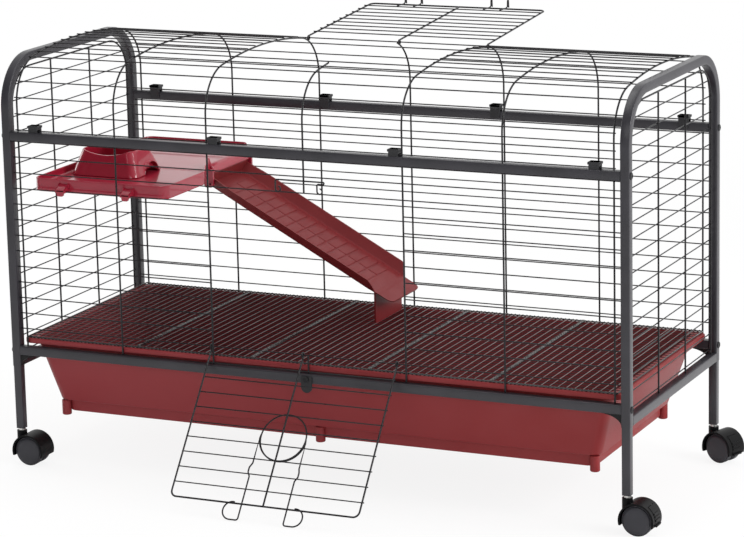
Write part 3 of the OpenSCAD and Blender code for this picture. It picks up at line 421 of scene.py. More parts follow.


# Tray: dull brick-red plastic, darker to the right, with grain, flow clouds and
# fine scuffs. Its inner faces, marked by the attribute, get painted shade and are darker.
def trayPlastic():
    look = {"grain": 0.9, "cloud": 120, "insideShade": 0.4, "scuff": (12, 160, 900)}
    f = Finish("tray_plastic")
    inner = f.node("Attribute", {"attribute_name": "inner"}, output="Fac")
    right = f.ramp(f.across() * 0.95 + 0.5, (0.0, 0.0), (1.0, 1.0))
    base = f.mixed(right, colour(0.28, 0.032, 0.038), colour(0.235, 0.017, 0.018))
    cloud = f.ramp(f.noise(look["cloud"], 4, 0.6), (0.35, 0.0), (0.75, 1.0))
    base = f.mixed(cloud * 0.35, base, colour(0.31, 0.045, 0.05))
    # painted shade: the tray's inner faces are darker because they lie in shade under the mesh floor
    base = f.mixed(inner * look["insideShade"], base, colour(0.08, 0.012, 0.016))
    fine = f.noise(look["grain"], 2)
    drawn = f.node("VectorMath", {"operation": "MULTIPLY"}, {0: f.place(), 1: look["scuff"]})
    scuff = f.node("TexNoise", values={"Vector": drawn, "Scale": 1.0, "Detail": 3.0})
    rough = 0.4 + fine * 0.1 + f.ramp(scuff, (0.55, 0.0), (0.8, 1.0)) * 0.12
    return f.surface(Base_Color=base, Roughness=rough, Normal=f.bump(fine, 0.03), IOR=1.36)


# Shelf and dish: glossy crimson plastic with slow waves in the gloss. The ramp is
# darker, browner and duller.
def shelfPlastic(name, low, high, rough, coat):
    f = Finish(name)
    cloud = f.noise(45, 3)
    fine = f.noise(1.1, 2)
    height = f.noise(14, 2) * 0.8 + fine * 0.05
    return f.surface(Base_Color=f.mixed(cloud, low, high), Roughness=rough + fine * 0.1,
                     Normal=f.bump(height, 0.16), IOR=1.3,
                     Coat_Weight=coat + cloud * 0.2, Coat_Roughness=0.05, Coat_IOR=1.5)


# Bare zinc: a bright metal with faint clouds
def zincSteel():
    f = Finish("zinc_steel")
    fine = f.noise(0.5, 3)
    tint = f.mixed(f.noise(6), colour(0.5, 0.49, 0.46), colour(0.66, 0.66, 0.65))
    return f.surface(Base_Color=tint, Metallic=1.0, Roughness=0.22 + fine * 0.2,
                     Normal=f.bump(fine, 0.01))


tube = tubePaint(), "tube_paint"
wire = wirePaint(), "wire_paint"
meshBar = meshWire(), "wire_paint"
tie = tieWire("tie_wire", colour(0.004, 0.004, 0.005), colour(0.012, 0.011, 0.012), 0.0), "wire_paint"
# the winding's pale grey is a painted highlight, which shows its turns as bright dots
winding = tieWire("winding_highlight_wire", colour(0.05, 0.05, 0.05), colour(0.3, 0.29, 0.28), 0.4), "wire_paint"
black = blackPlastic("black_plastic", colour(0.02, 0.02, 0.022), 0.42), "black_plastic"
# brackets: a darker black than the other plastic, partly painted shade, as they sit in the rails' shadow
shadedBracketBlack = blackPlastic("bracket_plastic_shaded", colour(0.004, 0.004, 0.0045), 0.6), "black_plastic"
casterBlack = blackPlastic("caster_plastic", colour(0.004, 0.004, 0.0045), 0.3, 0.02, 1.2)
wheelBlack = blackPlastic("wheel_plastic", colour(0.03, 0.03, 0.036), 0.34), "caster_plastic"
trayRed = trayPlastic(), "tray_plastic"
crimson = shelfPlastic("shelf_plastic", colour(0.3, 0.01, 0.028), colour(0.36, 0.016, 0.04), 0.28, 0.6)
crimson = crimson, "shelf_plastic"
rampRed = shelfPlastic("ramp_plastic", colour(0.165, 0.014, 0.017), colour(0.2, 0.02, 0.022), 0.46, 0.0)
rampRed = rampRed, "shelf_plastic"
zinc = zincSteel()
print("finishes made")

# Frame of square tube: sections with rounded edges on four long flats
tubeSection, legSection = (roundedRect(side / 2, side / 2, cage["edge"], 4)
                           for side in (cage["tube"], cage["legTube"]))


# Upside-down U in the plane at x: an upright, a quarter bend, any points of the
# crown, and the same again down the other side
def archRoute(x, halfY, low, top, bend, steps, *crown):
    y, z = halfY - bend, top - bend
    front = arc([x, -y, z], bend, -axisY, axisZ, 0, 90, steps)
    rear = arc([x, y, z], bend, axisY, axisZ, 90, 0, steps)
    return np.concatenate([[[x, -halfY, low]], front, *crown, rear, [[x, halfY, low]]])


for side, name in ((-1, "left"), (1, "right")):
    x, z, top = side * postX, cage["joint"] + tubeHalf, cage["hoopTop"] - tubeHalf
    hoop = archRoute(x, postY, cage["joint"], top, cage["hoopBend"] - tubeHalf, 18, [[x, 0, top]])
    addPiece(name + "Hoop", swept(hoop, tubeSection, axisX), "frame", tube, name + "_hoop")
    rail = swept([[x, -inY, z], [x, inY, z]], tubeSection, axisX)
    addPiece(name + "EndRail", rail, "frame", tube, name + "_end_rail")
for side, name in ((-1, "front"), (1, "rear")):
    y = side * postY
    for level in ("lower", "mid"):
        z = cage[level + "Rail"] + tubeHalf
        rail = swept([[-inX, y, z], [inX, y, z]], tubeSection, axisZ)
        addPiece(name + level.title() + "Rail", rail, "frame", tube, f"{name}_{level}_rail")
    for sx, end in ((-1, "left"), (1, "right")):
        x = sx * postX
        leg = swept([[x, y, cage["legFoot"]], [x, y, cage["joint"]]], legSection, axisX)
        addPiece(name + end.title() + "Leg", leg, "frame", tube, f"leg_{name}_{end}")
print("tube frame made")

# Corner brackets: a quarter bow between post and rail
gusset = {"length": 38, "drop": 19, "thick": 12, "steps": 14}


# Bow of (length (1 - sin t), drop (cos t - 1)) closed at the corner, thickened
def gussets():
    t = np.radians(np.linspace(0, 90, gusset["steps"] + 1))
    bow = np.stack([gusset["length"] * (1 - np.sin(t)), gusset["drop"] * (np.cos(t) - 1)], -1)
    flat = np.concatenate([[[0, 0]], bow]) + [-inX, cage["lowerRail"]]
    made = []
    for side in (-1, 1):
        outline = inPlane(flat, 1, side * postY + gusset["thick"] / 2)
        made += both(slab(outline, -gusset["thick"] * axisY), 0)
    return joined(*made)


addPiece("cornerGussets", gussets(), "frame", shadedBracketBlack, "corner_gussets", bevel=0.6)

# Pan-head screws: a dome over the head's radius, less a cross of two slots
screw = {"radius": 5.5, "height": 3.0, "slot": 0.75, "reach": 2.7, "sink": 1.3, "fall": 0.45,
         "foot": -0.3, "sides": 48, "rings": [1, 0.985, 0.9, 0.78, 0.66, 0.54, 0.42, 0.3, 0.2, 0.1]}


# Height (1 - fall (r / radius)^2) over points (u, v) of each ring, sunk in the cross
def screws():
    a, r = around(screw["sides"]), screw["radius"] * np.array(screw["rings"])
    u, v = r[:, None] * np.cos(a), r[:, None] * np.sin(a)
    dome = screw["height"] * (1 - screw["fall"] * (r / screw["radius"]) ** 2)[:, None] + 0 * u
    dome[0] = screw["foot"]
    cross = np.minimum(np.abs(u), np.abs(v)) < screw["slot"]
    cross = cross & (np.maximum(np.abs(u), np.abs(v)) < screw["reach"])
    rings = xyz(np.where(cross, dome - screw["sink"], dome), u, v)
    one = lofted(rings, screw["foot"] * axisX, (screw["height"] - screw["sink"]) * axisX)
    made = []
    for side in (-1, 1):
        for z in (cage["lowerRail"], cage["midRail"]):
            spot = [cage["length"] / 2, side * postY, z + tubeHalf]
            made += both(placed(one, np.eye(3), spot), 0)
    return joined(*made)


addPiece("frameScrews", screws(), "frame", black, "frame_screws", sharp=50)

# Clips that hold the dome's lowest wire on the mid rails
clip = {"width": 20, "body": 17, "thick": 2.5, "front": 2, "drop": 11, "rise": 7, "cap": 4,
        "over": 0.6, "neck": 6, "wire": 3, "grip": 0.5, "inset": 43, "mid": 159}


# Hook over the rail, with a wider cap and a neck in front of the wire. Each is an
# outline of (y, z), thickened along x.
def clips():
    back, under, wireZ = inY - clip["thick"], midTop - clip["drop"], midTop + clip["wire"]
    wireTop = wireZ + crossWire + touch
    lip = postY + layer + crossWire + touch
    front, top = lip + clip["front"], wireTop + clip["rise"]
    inside, outside = inY + clip["front"], front + clip["over"]
    hook = [[back, under], [inY, under], [inY, midTop], [inside, midTop], [inside, wireTop],
            [lip, wireTop], [lip, wireZ], [front, wireZ], [front, top], [back, top]]
    low = top - clip["cap"]
    cap = [[back, low], [outside, low], [outside, top], [back, top]]
    low, high = midTop - clip["neck"], wireZ + clip["grip"]
    neck = [[lip, low], [front, low], [front, high], [lip, high]]
    made = []
    for x in (-inX + clip["inset"], -clip["mid"], clip["mid"], inX - clip["inset"]):
        for part, width in ((hook, clip["body"]), (cap, clip["width"]), (neck, clip["body"])):
            made += both(slab(inPlane(part, 0, x - width / 2), width * axisX), 1)
    return joined(*made)


addPiece("domeClips", clips(), "frame", black, "dome_clips", bevel=0.5)
print("brackets, screws and clips made")

# Wire panels. The front one leaves out the middle of the rows behind the door.
panel = {"columns": [172, 341, 523], "doorRows": 10, "half": 172, "sides": 12, "endInset": 10,
         "endUp": 65, "endFirst": 8, "endRows": 18, "poke": 3, "domePoke": 4}
columns = np.array([s * x for x in panel["columns"] for s in (-1, 1)], float)
levels = wireZ + pitch * np.arange(cage["rows"] + 1)
openTop = wireZ + panel["doorRows"] * pitch


def thick(routes, up=axisX):
    return wires(routes, postWire, up, panel["sides"])


# Uprights at the columns and runs at the levels, a weld bead at each crossing
def longPanel(side, opened):
    y, yc = side * postY, side * (postY - layer)
    mid = [[0, railTop, wireZ if opened else cage["midRail"]]]
    if opened:
        mid.append([0, openTop, cage["midRail"]])
    x, low, high = np.array([[x, railTop, cage["midRail"]] for x in columns] + mid, float).T
    ups = rods(xyz(x, y, low), xyz(x, y, high), postWire, axisX, panel["sides"])
    k = np.arange(len(levels))
    broken = (k > 0) & (k < panel["doorRows"]) & opened
    runs = [[-inX, inX, z] for z in levels[~broken]]
    runs += [[s * inX, s * panel["half"], z] for z in levels[broken] for s in (-1, 1)]
    a, b, z = np.array(runs).T
    lines = rods(xyz(a, yc, z), xyz(b, yc, z), crossWire)
    return joined(ups, lines, beads(xyz(columns, (y + yc) / 2, levels[:, None]), "long"))


addPiece("frontPanel", longPanel(-1, True), "frame", wire, "front_panel")
addPiece("rearPanel", longPanel(1, False), "frame", wire, "rear_panel")


# End panel: an edge wire inside the hoop, two uprights, and cross wires whose
# half length is that of the edge wire at their height
def endPanel(side):
    x, xc = side * postX, side * (postX - layer)
    low = cage["joint"] + cage["tube"]
    edgeY, edgeTop = inY - panel["endInset"], cage["hoopTop"] - cage["tube"] - panel["endInset"]
    bend = cage["hoopBend"] - cage["tube"] - panel["endInset"]
    edge = thick(archRoute(x, edgeY, low, edgeTop, bend, 14))
    up = np.array([-1.0, 1.0]) * panel["endUp"]
    ups = rods(xyz(x, up, low), xyz(x, up, edgeTop), postWire, axisX, panel["sides"])
    z = low + panel["endFirst"] + pitch * np.arange(panel["endRows"])
    half = edgeY - bend + np.sqrt(bend ** 2 - np.maximum(0, z - edgeTop + bend) ** 2)
    end = half + panel["poke"]
    lines = rods(xyz(xc, -end, z), xyz(xc, end, z), crossWire)
    crossings = np.array(np.broadcast_arrays(-half, half, *up))
    return joined(edge, ups, lines, beads(xyz(xc + side * layer / 2, crossings, z), "end"))


addPiece("leftEndPanel", endPanel(-1), "frame", wire, "left_end_panel")
addPiece("rightEndPanel", endPanel(1), "frame", wire, "right_end_panel")

# Dome: each arch is a straight foot, a bend and a flat crown. Its points come
# from the length s along it, measured from the lowest cross wire.
dome = {"foot": 3, "rise": 45, "bend": 74, "slope": 9, "rows": 11, "frontRow": 7, "rearRow": 5,
        "steps": (3, 17, 7)}
bendZ = midTop + dome["rise"]
slope = math.radians(dome["slope"])
crownRadius = (postY - dome["bend"] * (1 - math.sin(slope))) / math.sin(slope)
crownZ = bendZ + (dome["bend"] - crownRadius) * math.cos(slope)
sBend = dome["rise"] - dome["foot"]
sCrown = sBend + dome["bend"] * (math.pi / 2 - slope)
sHalf = sCrown + crownRadius * slope
domePitch = sHalf / dome["rows"]


# (y, z) at length s, set off outwards: up the foot, then round the bend's centre
# by s over its radius, then round the crown's centre in the same way
def domePoint(s, off=0.0):
    s = np.asarray(s, float)
    a = (s - sBend) / dome["bend"]
    b = slope - (s - sCrown) / crownRadius
    r, far = dome["bend"] + off, crownRadius + off
    parts = [s <= sBend, s <= sCrown]
    y = np.select(parts, [postY + off, postY - dome["bend"] + r * np.cos(a)], far * np.sin(b))
    z = np.select(parts, [midTop + dome["foot"] + s, bendZ + r * np.sin(a)], crownZ + far * np.cos(b))
    return np.stack([y, z], -1)


def halfArch(x, end):
    foot, bend, crown = dome["steps"]
    s = np.concatenate([[-dome["foot"]], np.linspace(0, sBend, foot),
                        np.linspace(sBend, sCrown, bend)[1:], np.linspace(sCrown, sHalf, crown)[1:]])
    return inPlane(domePoint(np.append(s[s < end - 1], end)), 0, x)


# Whole arches at the columns, two stubs beside the opening, and rows of cross
# wires, which stop at the opening's sides from the rows after the last whole one
def domePanel():
    flip = np.array([1, -1, 1])
    halves = [halfArch(x, sHalf) for x in columns]
    arches = np.array([np.concatenate([half, (half * flip)[-2::-1]]) for half in halves])
    rear, front = halfArch(0, dome["rearRow"] * domePitch), halfArch(0, dome["frontRow"] * domePitch)
    made = [thick(arches), thick(rear), thick(front * flip)]
    end = panel["columns"][-1] + panel["domePoke"]
    for sign, rows, last in ((1, dome["rows"], dome["rearRow"]),
                             (-1, dome["rows"] + 1, dome["frontRow"])):
        k = np.arange(rows)
        y, z = (domePoint(k * domePitch, layer) * [sign, 1]).T
        yw, zw = (domePoint(k * domePitch, layer / 2) * [sign, 1]).T
        spans = [(k <= last, -end, end)] + [(k > last, s * end, s * panel["half"]) for s in (-1, 1)]
        made += [rods(xyz(a, y[on], z[on]), xyz(b, y[on], z[on]), crossWire) for on, a, b in spans]
        made.append(beads(xyz(columns, yw[:, None], zw[:, None]), "dome"))
    return joined(*made)


addPiece("domePanel", domePanel(), "frame", wire, "dome_panel")
print("wire panels made")

# Doors, standing up from the hinge line with their outer face towards -Y, then
# turned open and moved to their hinges
door = {"width": 331, "length": 261, "wires": 9, "corner": 10, "loop": 3.3, "poke": 3,
        "frontX": -10.5, "frontDrop": 37.8, "topRise": 4.4, "topMid": 4}
doorHalf, doorEnd = door["width"] / 2, door["length"]
doorPitch = doorEnd / (door["wires"] + 1)
thinAt = door["loop"] + layer
frontPlace = turning(0, 180 - door["frontDrop"]), [door["frontX"], -(postY - layer), wireZ]
topPlace = (turning(0, -90 + door["topRise"]),
            np.append(0, domePoint(dome["rearRow"] * domePitch, layer)))


# Bent rim with a hinge loop at each foot, a middle wire, cross wires and welds
def doorWires(mid):
    h, r, c = doorHalf, door["loop"], door["corner"]
    loop = arc([0, 0, 0], r, -axisY, -axisZ, 300, 0, 20)
    corner = arc([h - c, -r, doorEnd - c], c, axisX, axisZ, 0, 90, 8)
    right = np.concatenate([loop + [h, 0, 0], corner])
    rim = thick(np.concatenate([right, (right * [-1, 1, 1])[::-1]]), [1, 1, 0])
    middle = thick(np.concatenate([loop + [mid, 0, 0], [[mid, -r, doorEnd]]]))
    z = doorPitch * np.arange(1, door["wires"] + 1)
    end = h + door["poke"]
    thin = rods(xyz(-end, -thinAt, z), xyz(end, -thinAt, z), crossWire)
    welds = beads(xyz([-h, mid, h], -thinAt + layer / 2, z[:, None]), "long")
    return joined(rim, middle, thin, welds)


addPiece("frontDoor", placed(doorWires(0), *frontPlace), "front_door", wire, "front_door")
addPiece("topDoor", placed(doorWires(door["topMid"]), *topPlace), "top_door", wire, "top_door")

# Latch: a finger ring of one and a half turns, two legs with a jog, two curled hooks
latch = {"wire": 1.25, "ring": 40, "ringAt": 141, "turns": 1.5, "climb": 3, "hookAt": 287,
         "hook": 15, "bend": 4, "jog": [0, 0, 4, 4, 0, 0], "jogAt": 2.3, "jogZ": [-30, -12, -4, 4, 11]}
latchAt = thinAt + crossWire + latch["wire"] + touch


# Ring: a circle whose depth grows with its angle. Each leg leaves it at its own
# depth and ends in a bend and a curl.
def latchWire():
    r, bend, hook = latch["ring"], latch["bend"], latch["hook"]
    far = latchAt + latch["climb"] * latch["turns"]
    t = np.linspace(0, 1, 73)[:, None]
    a = np.radians(180 - 360 * latch["turns"] * t)
    ring = latch["ringAt"] * axisZ + r * (np.cos(a) * axisX + np.sin(a) * axisZ)
    ring = ring - (latchAt + (far - latchAt) * t) * axisY
    tipZ, jogZ = latch["hookAt"] - bend, doorEnd - latch["jogAt"] * doorPitch + np.array(latch["jogZ"])

    def leg(s, depth):
        path = xyz(s * (r + np.array(latch["jog"])), [-depth] * 2 + [-latchAt] * 4, [*jogZ, tipZ])
        tip = arc([s * (r + bend), -latchAt, tipZ], bend, -s * axisX, axisZ, 10, 90, 5)
        curl = arc([s * (r + hook), -latchAt, latch["hookAt"] - hook], hook, s * axisX, axisZ, 90, -100, 22)
        return np.concatenate([filleted(path, bend, 4, closed=False)[1:], tip, curl])

    route = np.concatenate([leg(-1, latchAt)[::-1], ring, leg(1, far)])
    return wires(route, latch["wire"], axisY, 12)


addPiece("frontLatch", placed(latchWire(), *frontPlace), "front_latch", wire, "front_door_latch")

# Keeper: a flat loop above the front opening with an open eye at each end
keeper = {"rise": 17, "gap": 3.6, "left": -49, "right": 37, "eye": 4.5, "bend": 3}


# Arcs one after the other, from the left eye round the loop to the right one
def keeperWire():
    y = -postY - postWire - latch["wire"] + touch
    low = openTop + keeper["rise"]
    eye, half, bend = keeper["eye"], keeper["gap"] / 2, keeper["bend"]
    left, right, eyeX = keeper["left"], keeper["right"], keeper["right"] - 3 * eye + 1
    arcs = [(left + eye, openTop + eye + 1, eye, 450, 180, 24),
            (left + bend, low + keeper["gap"] - bend, bend, 180, 90, 6),
            (right - half, low + half, half, 90, -90, 10),
            (eyeX + bend, low - bend, bend, 90, 180, 6),
            (eyeX + eye, openTop + eye + 1, eye, 180, 450, 24)]
    route = [arc([x, y, z], r, axisX, axisZ, *turn) for x, z, r, *turn in arcs]
    return wires(np.concatenate(route), latch["wire"], axisY, 12)


addPiece("latchKeeper", keeperWire(), "frame", wire, "latch_keeper")

# Hairpin hooks that stand on the top door's end wire
hairpin = {"height": 16, "pair": 31, "at": 82, "bend": 2}


# A tail from the last cross wire under the end wire, half a turn at the tip, and back
def hairpins():
    base = -door["loop"] - postWire - latch["wire"] + touch
    low = -thinAt - crossWire - latch["wire"] + touch
    rung, at, bend = doorEnd - doorPitch, doorEnd - hairpin["bend"], hairpin["bend"]
    made = []
    for x in [s * hairpin["at"] + p * hairpin["pair"] / 2 for s in (-1, 1) for p in (-1, 1)]:
        tail = filleted([[x - 5, low, rung - 4], [x - 4, low, rung + 5], [x - 1, base - 1, at - 8],
                         [x, base - 3, at - 3.5]], 4, 3, closed=False)
        pin = arc([x, base - hairpin["height"] + 4, at], bend, -axisY, axisZ, -90, 90, 8)
        foot = [[x, base - 3, at + bend], [x, base, at + bend + 0.6]]
        made.append(wires(np.concatenate([tail, pin, foot]), latch["wire"], axisX, 10))
    return joined(*made)


addPiece("topDoorHooks", placed(hairpins(), *topPlace), "top_door", wire, "top_door_hooks")
print("doors, latch and hooks made")

# Mesh floor: five panels of fine wire, tied to each other and to a rim by wound wire
net = {"halfX": 525, "halfY": 206, "top": 222, "wire": 0.58, "across": 75, "along": 29, "below": 2.6,
       "seams": [-315, -105, 105, 315], "seamHalf": 1.5, "rim": 1.2, "rimDrop": 2, "rimPitch": 7,
       "tie": 0.7, "rope": 1.0, "ropeWire": 1.4, "turn": 2.3, "turnPitch": 9.4}


# Wire wound round a straight rod: a circle of the given radius that moves along the rod
def wound(start, stop, radius, pitch, steps):
    start, stop = np.array(start, float), np.array(stop, float)
    length = np.linalg.norm(stop - start)
    way = (stop - start) / length
    side = unit(np.cross(axisZ, way))
    t = np.linspace(0, 1, int(length / pitch * steps) + 1)[:, None]
    a = 2 * np.pi * t * length / pitch
    route = start + way * length * t + radius * (np.cos(a) * side + np.sin(a) * axisZ)
    return wires(route, net["tie"], way, 6)


# Even bars along y, and even rows along x under them
def meshFloor():
    hx, hy, r = net["halfX"], net["halfY"], net["wire"]
    x = np.linspace(-hx, hx, net["across"] + 1)[1:-1]
    y = np.linspace(-hy, hy, net["along"] + 1)[1:-1]
    high, low = net["top"] - r, net["top"] - net["below"] * r
    return (rods(xyz(x, -hy, high), xyz(x, hy, high), r, axisX, 8),
            rods(xyz(-hx, y, low), xyz(hx, y, low), r, axisZ, 8))


# The rim's rods and winding with the seams' rods, and the seams' winding
def meshTies():
    hx, hy, z = net["halfX"], net["halfY"], net["top"] - net["rimDrop"]
    made, turns = [], []
    for s in (-1, 1):
        ends = [-hx, s * hy, z], [hx, s * hy, z]
        made.append(rods(*ends, net["rim"], axisZ, 10))
        made.append(rods([s * hx, -hy, z], [s * hx, hy, z], net["rim"], axisX, 10))
        made.append(wound(*ends, net["rim"] + 0.2, net["rimPitch"], 10))
    top = net["top"] - net["rope"]
    for seam in net["seams"]:
        x = seam + np.array([-1, 1]) * net["seamHalf"]
        made.append(rods(xyz(x, -hy, top), xyz(x, hy, top), net["ropeWire"], axisX, 8))
        ends = [seam, -hy, top - 0.4], [seam, hy, top - 0.4]
        turns.append(wound(*ends, net["turn"], net["turnPitch"], 12))
    return joined(*made), joined(*turns)


meshBars, meshRows = meshFloor()
addPiece("meshFloor", meshBars, "frame", meshBar, "floor_mesh")
addPiece("meshRows", meshRows, "frame", wire, "floor_mesh")
ties, turns = meshTies()
addPiece("meshTies", ties, "frame", tie, "floor_mesh")
addPiece("meshWinding", turns, "frame", winding, "floor_mesh")

# Tray: rounded rectangles from the inner floor up the inner wall, over the rim and
# down the outer wall. Each corner is (half length, half depth, corner radius, height,
# place along X). The wall leans from low to top round a step at its foot.
tray = {"x": -6, "rimAt": -1, "rimX": 533, "rimY": 209, "topX": 516, "topY": 203.4, "lowX": 486.7,
        "lowY": 169.1, "rimTop": 218, "rimLow": 209.5, "floor": 104, "bottom": 83.5, "step": 9,
        "wall": 3, "foot": 8, "footLow": 77, "flat": 20, "steps": 4, "cornerSteps": 8, "innerRows": 17}


def trayShell():
    w, low, high, bottom = tray["wall"], tray["x"], tray["rimAt"], tray["bottom"]
    floor, rimTop, rimLow = tray["floor"], tray["rimTop"], tray["rimLow"]
    wallX, wallY, topX, topY, rimX, rimY = (tray[k] for k in ("lowX", "lowY", "topX", "topY", "rimX", "rimY"))
    stepX, stepY = wallX - tray["step"], wallY - tray["step"]
    inX, inY = stepX - w, stepY - w
    lipX, lipY = rimX - w, rimY - w + 0.6
    path = [[inX - tray["flat"], inY - tray["flat"], 5, bottom + w, low], [inX, inY, 13, bottom + w, low],
            [inX + 1, inY + 1, 13, floor + w, low], [wallX - w, wallY - w, 13, floor + w, low],
            [topX - w, topY - w, 20, rimTop, high], [rimX, rimY, 15, rimTop, high],
            [rimX, rimY, 15, rimLow, high], [lipX, lipY, 13, rimLow, high],
            [lipX, lipY, 13, rimTop - w, high], [topX, topY, 22, rimTop - w, high],
            [wallX, wallY, 16, floor, low], [stepX, stepY, 16, floor, low],
            [stepX - 1, stepY - 1, 16, bottom, low],
            [stepX - tray["flat"], stepY - tray["flat"], 5, bottom, low]]
    radii = [0, 2, 1.5, 3, 2.2, 2.2, 0.8, 0.8, 0.5, 0.9, 4, 3, 3, 0]
    halfX, halfY, corner, z, x = filleted(path, radii, tray["steps"], closed=False).T
    flat = roundedRect(halfX, halfY, corner, tray["cornerSteps"])
    rings = xyz(flat[..., 0] + x[:, None], flat[..., 1], z[:, None])
    return lofted(rings, [low, 0, bottom + w], [low, 0, bottom])


def trayFeet():
    x0, r, low, high = tray["x"], tray["foot"], tray["footLow"], tray["floor"] - 1
    footX = tray["lowX"] - r - 2
    profile = filleted([[0.2, low], [r, low], [r, high], [0.2, high]], [0, 2, 1, 0], 4, closed=False)
    return joined(*[turned(profile, [x0 + x, s * (tray["lowY"] - r), 0], axisZ, 28)
                    for x in (-footX, 0, footX) for s in (-1, 1)])


trayPiece = addPiece("tray", joined(trayShell(), trayFeet()), "frame", trayRed, "tray")
# marks the inner faces, which the tray finish darkens with painted shade
inner = np.zeros(len(trayPiece.data.vertices), np.float32)
inner[:tray["innerRows"] * 4 * (tray["cornerSteps"] + 1)] = 1
trayPiece.data.attributes.new("inner", "FLOAT", "POINT").data.foreach_set("value", inner)
print("floor and tray made")

# Shelf. The plan is walked at even steps. At each step a profile of (distance
# inwards, height) goes from the underside over the rim to the deck. At the
# landing it blends to a profile that curls down to a lip instead.
shelf = {"left": -507, "right": -257, "y": 198.5, "cut": -62.5, "landingX": -305, "landingY": 42,
         "deck": 479.5, "rim": 12.5, "skirt": 10, "thick": 3, "lip": 14, "edge": 9, "blend": 5,
         "planSteps": 420, "profileSteps": 40, "middle": [-400.0, 0.0]}


def shelfShell():
    t, deck, lip, edge = shelf["thick"], shelf["deck"], shelf["lip"], shelf["edge"]
    left, right, far, landingX = shelf["left"], shelf["right"], shelf["y"], shelf["landingX"]
    plan = filleted([[left, -far], [right, -far], [right, shelf["cut"]], [landingX, shelf["landingY"]],
                     [landingX, far], [left, far]], [16, 15, 14, 14, 12, 16], 8)
    plan = evened(plan, shelf["planSteps"])
    way = unit(np.roll(plan, -1, 0) - np.roll(plan, 1, 0))
    inward = np.stack([-way[:, 1], way[:, 0]], -1)
    low, top, under = deck - shelf["skirt"], deck + shelf["rim"], deck - t
    rim = filleted([[edge, under], [t, under], [t, low], [0, low], [0, top], [t, top], [t, deck],
                    [edge, deck]], [0, 2, 1.2, 1.2, 1.45, 1.45, 2.2, 0], 4, closed=False)
    across, up = np.eye(2)
    curlIn = arc([edge - 1, deck - lip], lip - t, -across, up, 90, 0, 8)
    curlOut = arc([edge - 1, deck - lip], lip, -across, up, 0, 90, 10)
    landing = np.concatenate([[[edge, under]], curlIn, curlOut, [[edge, deck]]])
    rim, landing = (evened(one, shelf["profileSteps"], False) for one in (rim, landing))
    x, y = plan.T
    share = np.clip((y - shelf["landingY"] - 6) / shelf["blend"], 0, 1) * (x > landingX - 2)
    share = share * np.clip((far - 6 - y) / shelf["blend"], 0, 1)
    share = (share ** 2 * (3 - 2 * share))[:, None, None]
    profile = (1 - share) * rim + share * landing
    flat = plan[:, None] + profile[..., :1] * inward[:, None]
    rings = np.concatenate([flat, profile[..., 1:]], -1).transpose(1, 0, 2)
    return lofted(rings, shelf["middle"] + [under], shelf["middle"] + [deck])


# Hooks over a cross wire: an upside-down U across the panel, a rounded tongue
# outside it and two ribs. They sit at the near and at the far long side.
hook = {"row": 9, "gap": 0.4, "thick": 2.5, "width": 14, "at": [50, 172], "ribs": [1, 17.4], "rib": 1.6}


def shelfHooks():
    z = wireZ + hook["row"] * pitch + crossWire + hook["gap"]
    y, thickness = shelf["y"], hook["thick"]
    lip = postY - layer + crossWire + hook["gap"]
    out = lip + thickness
    bridge = [[y - 1, z], [y - 1, z + 9], [y + 2, z + 9], [out, z + 2.5], [out, z - 1],
              [lip, z - 1], [lip, z]]
    rib = [[y - 1, z + 11], [y + 1.5, z + 11], [out + 0.4, z - 1], [out + 0.4, z - 3], [y - 1, z - 3]]
    tongue = filleted([[3.5, z - 9], [16.5, z - 9], [16.5, z + 1], [3.5, z + 1]], [4, 4, 0.5, 0.5], 5)
    made = []
    for x in hook["at"]:
        x = shelf["left"] + x
        made += both(slab(inPlane(bridge, 0, x + 3), hook["width"] * axisX), 1)
        made += both(slab(inPlane(tongue + [x, 0], 1, out), -thickness * axisY), 1)
        for side in hook["ribs"]:
            made += both(slab(inPlane(rib, 0, x + side), hook["rib"] * axisX), 1)
    return joined(*made)


# Ramp in its own frame: u down its length, y across, w up from its underside
ramp = {"slope": 28.4, "width": 141, "floor": 122, "flare": 9, "spread": 4, "length": 352, "wall": 19.5,
        "thick": 3, "tongue": 35, "corner": 12, "margin": 20, "pitch": 21.6, "gap": 3, "head": 23,
        "ear": 4, "pinU": 10, "pinW": 9, "pin": 2.5, "pinLength": 11.5}
rampAt = np.array([-315, 117, 444.0])
rampTurn = turning(1, ramp["slope"])


# Ears under the landing that hold the ramp's pins
def shelfEars():
    pinX, _, pinZ = rampTurn @ [ramp["pinU"], 0, ramp["pinW"]] + rampAt
    back, front, low, deck = shelf["landingX"] - 8, pinX + 6, pinZ - 6, shelf["deck"]
    flat = filleted([[back, low], [front, low], [front, deck - 8], [back, deck - 4]], [3, 5, 2, 2], 4)
    out = ramp["width"] / 2 + 0.5
    return joined(*[slab(inPlane(flat, 1, rampAt[1] + y)[::-1], ramp["ear"] * axisY)
                    for y in (-out - ramp["ear"], out)])


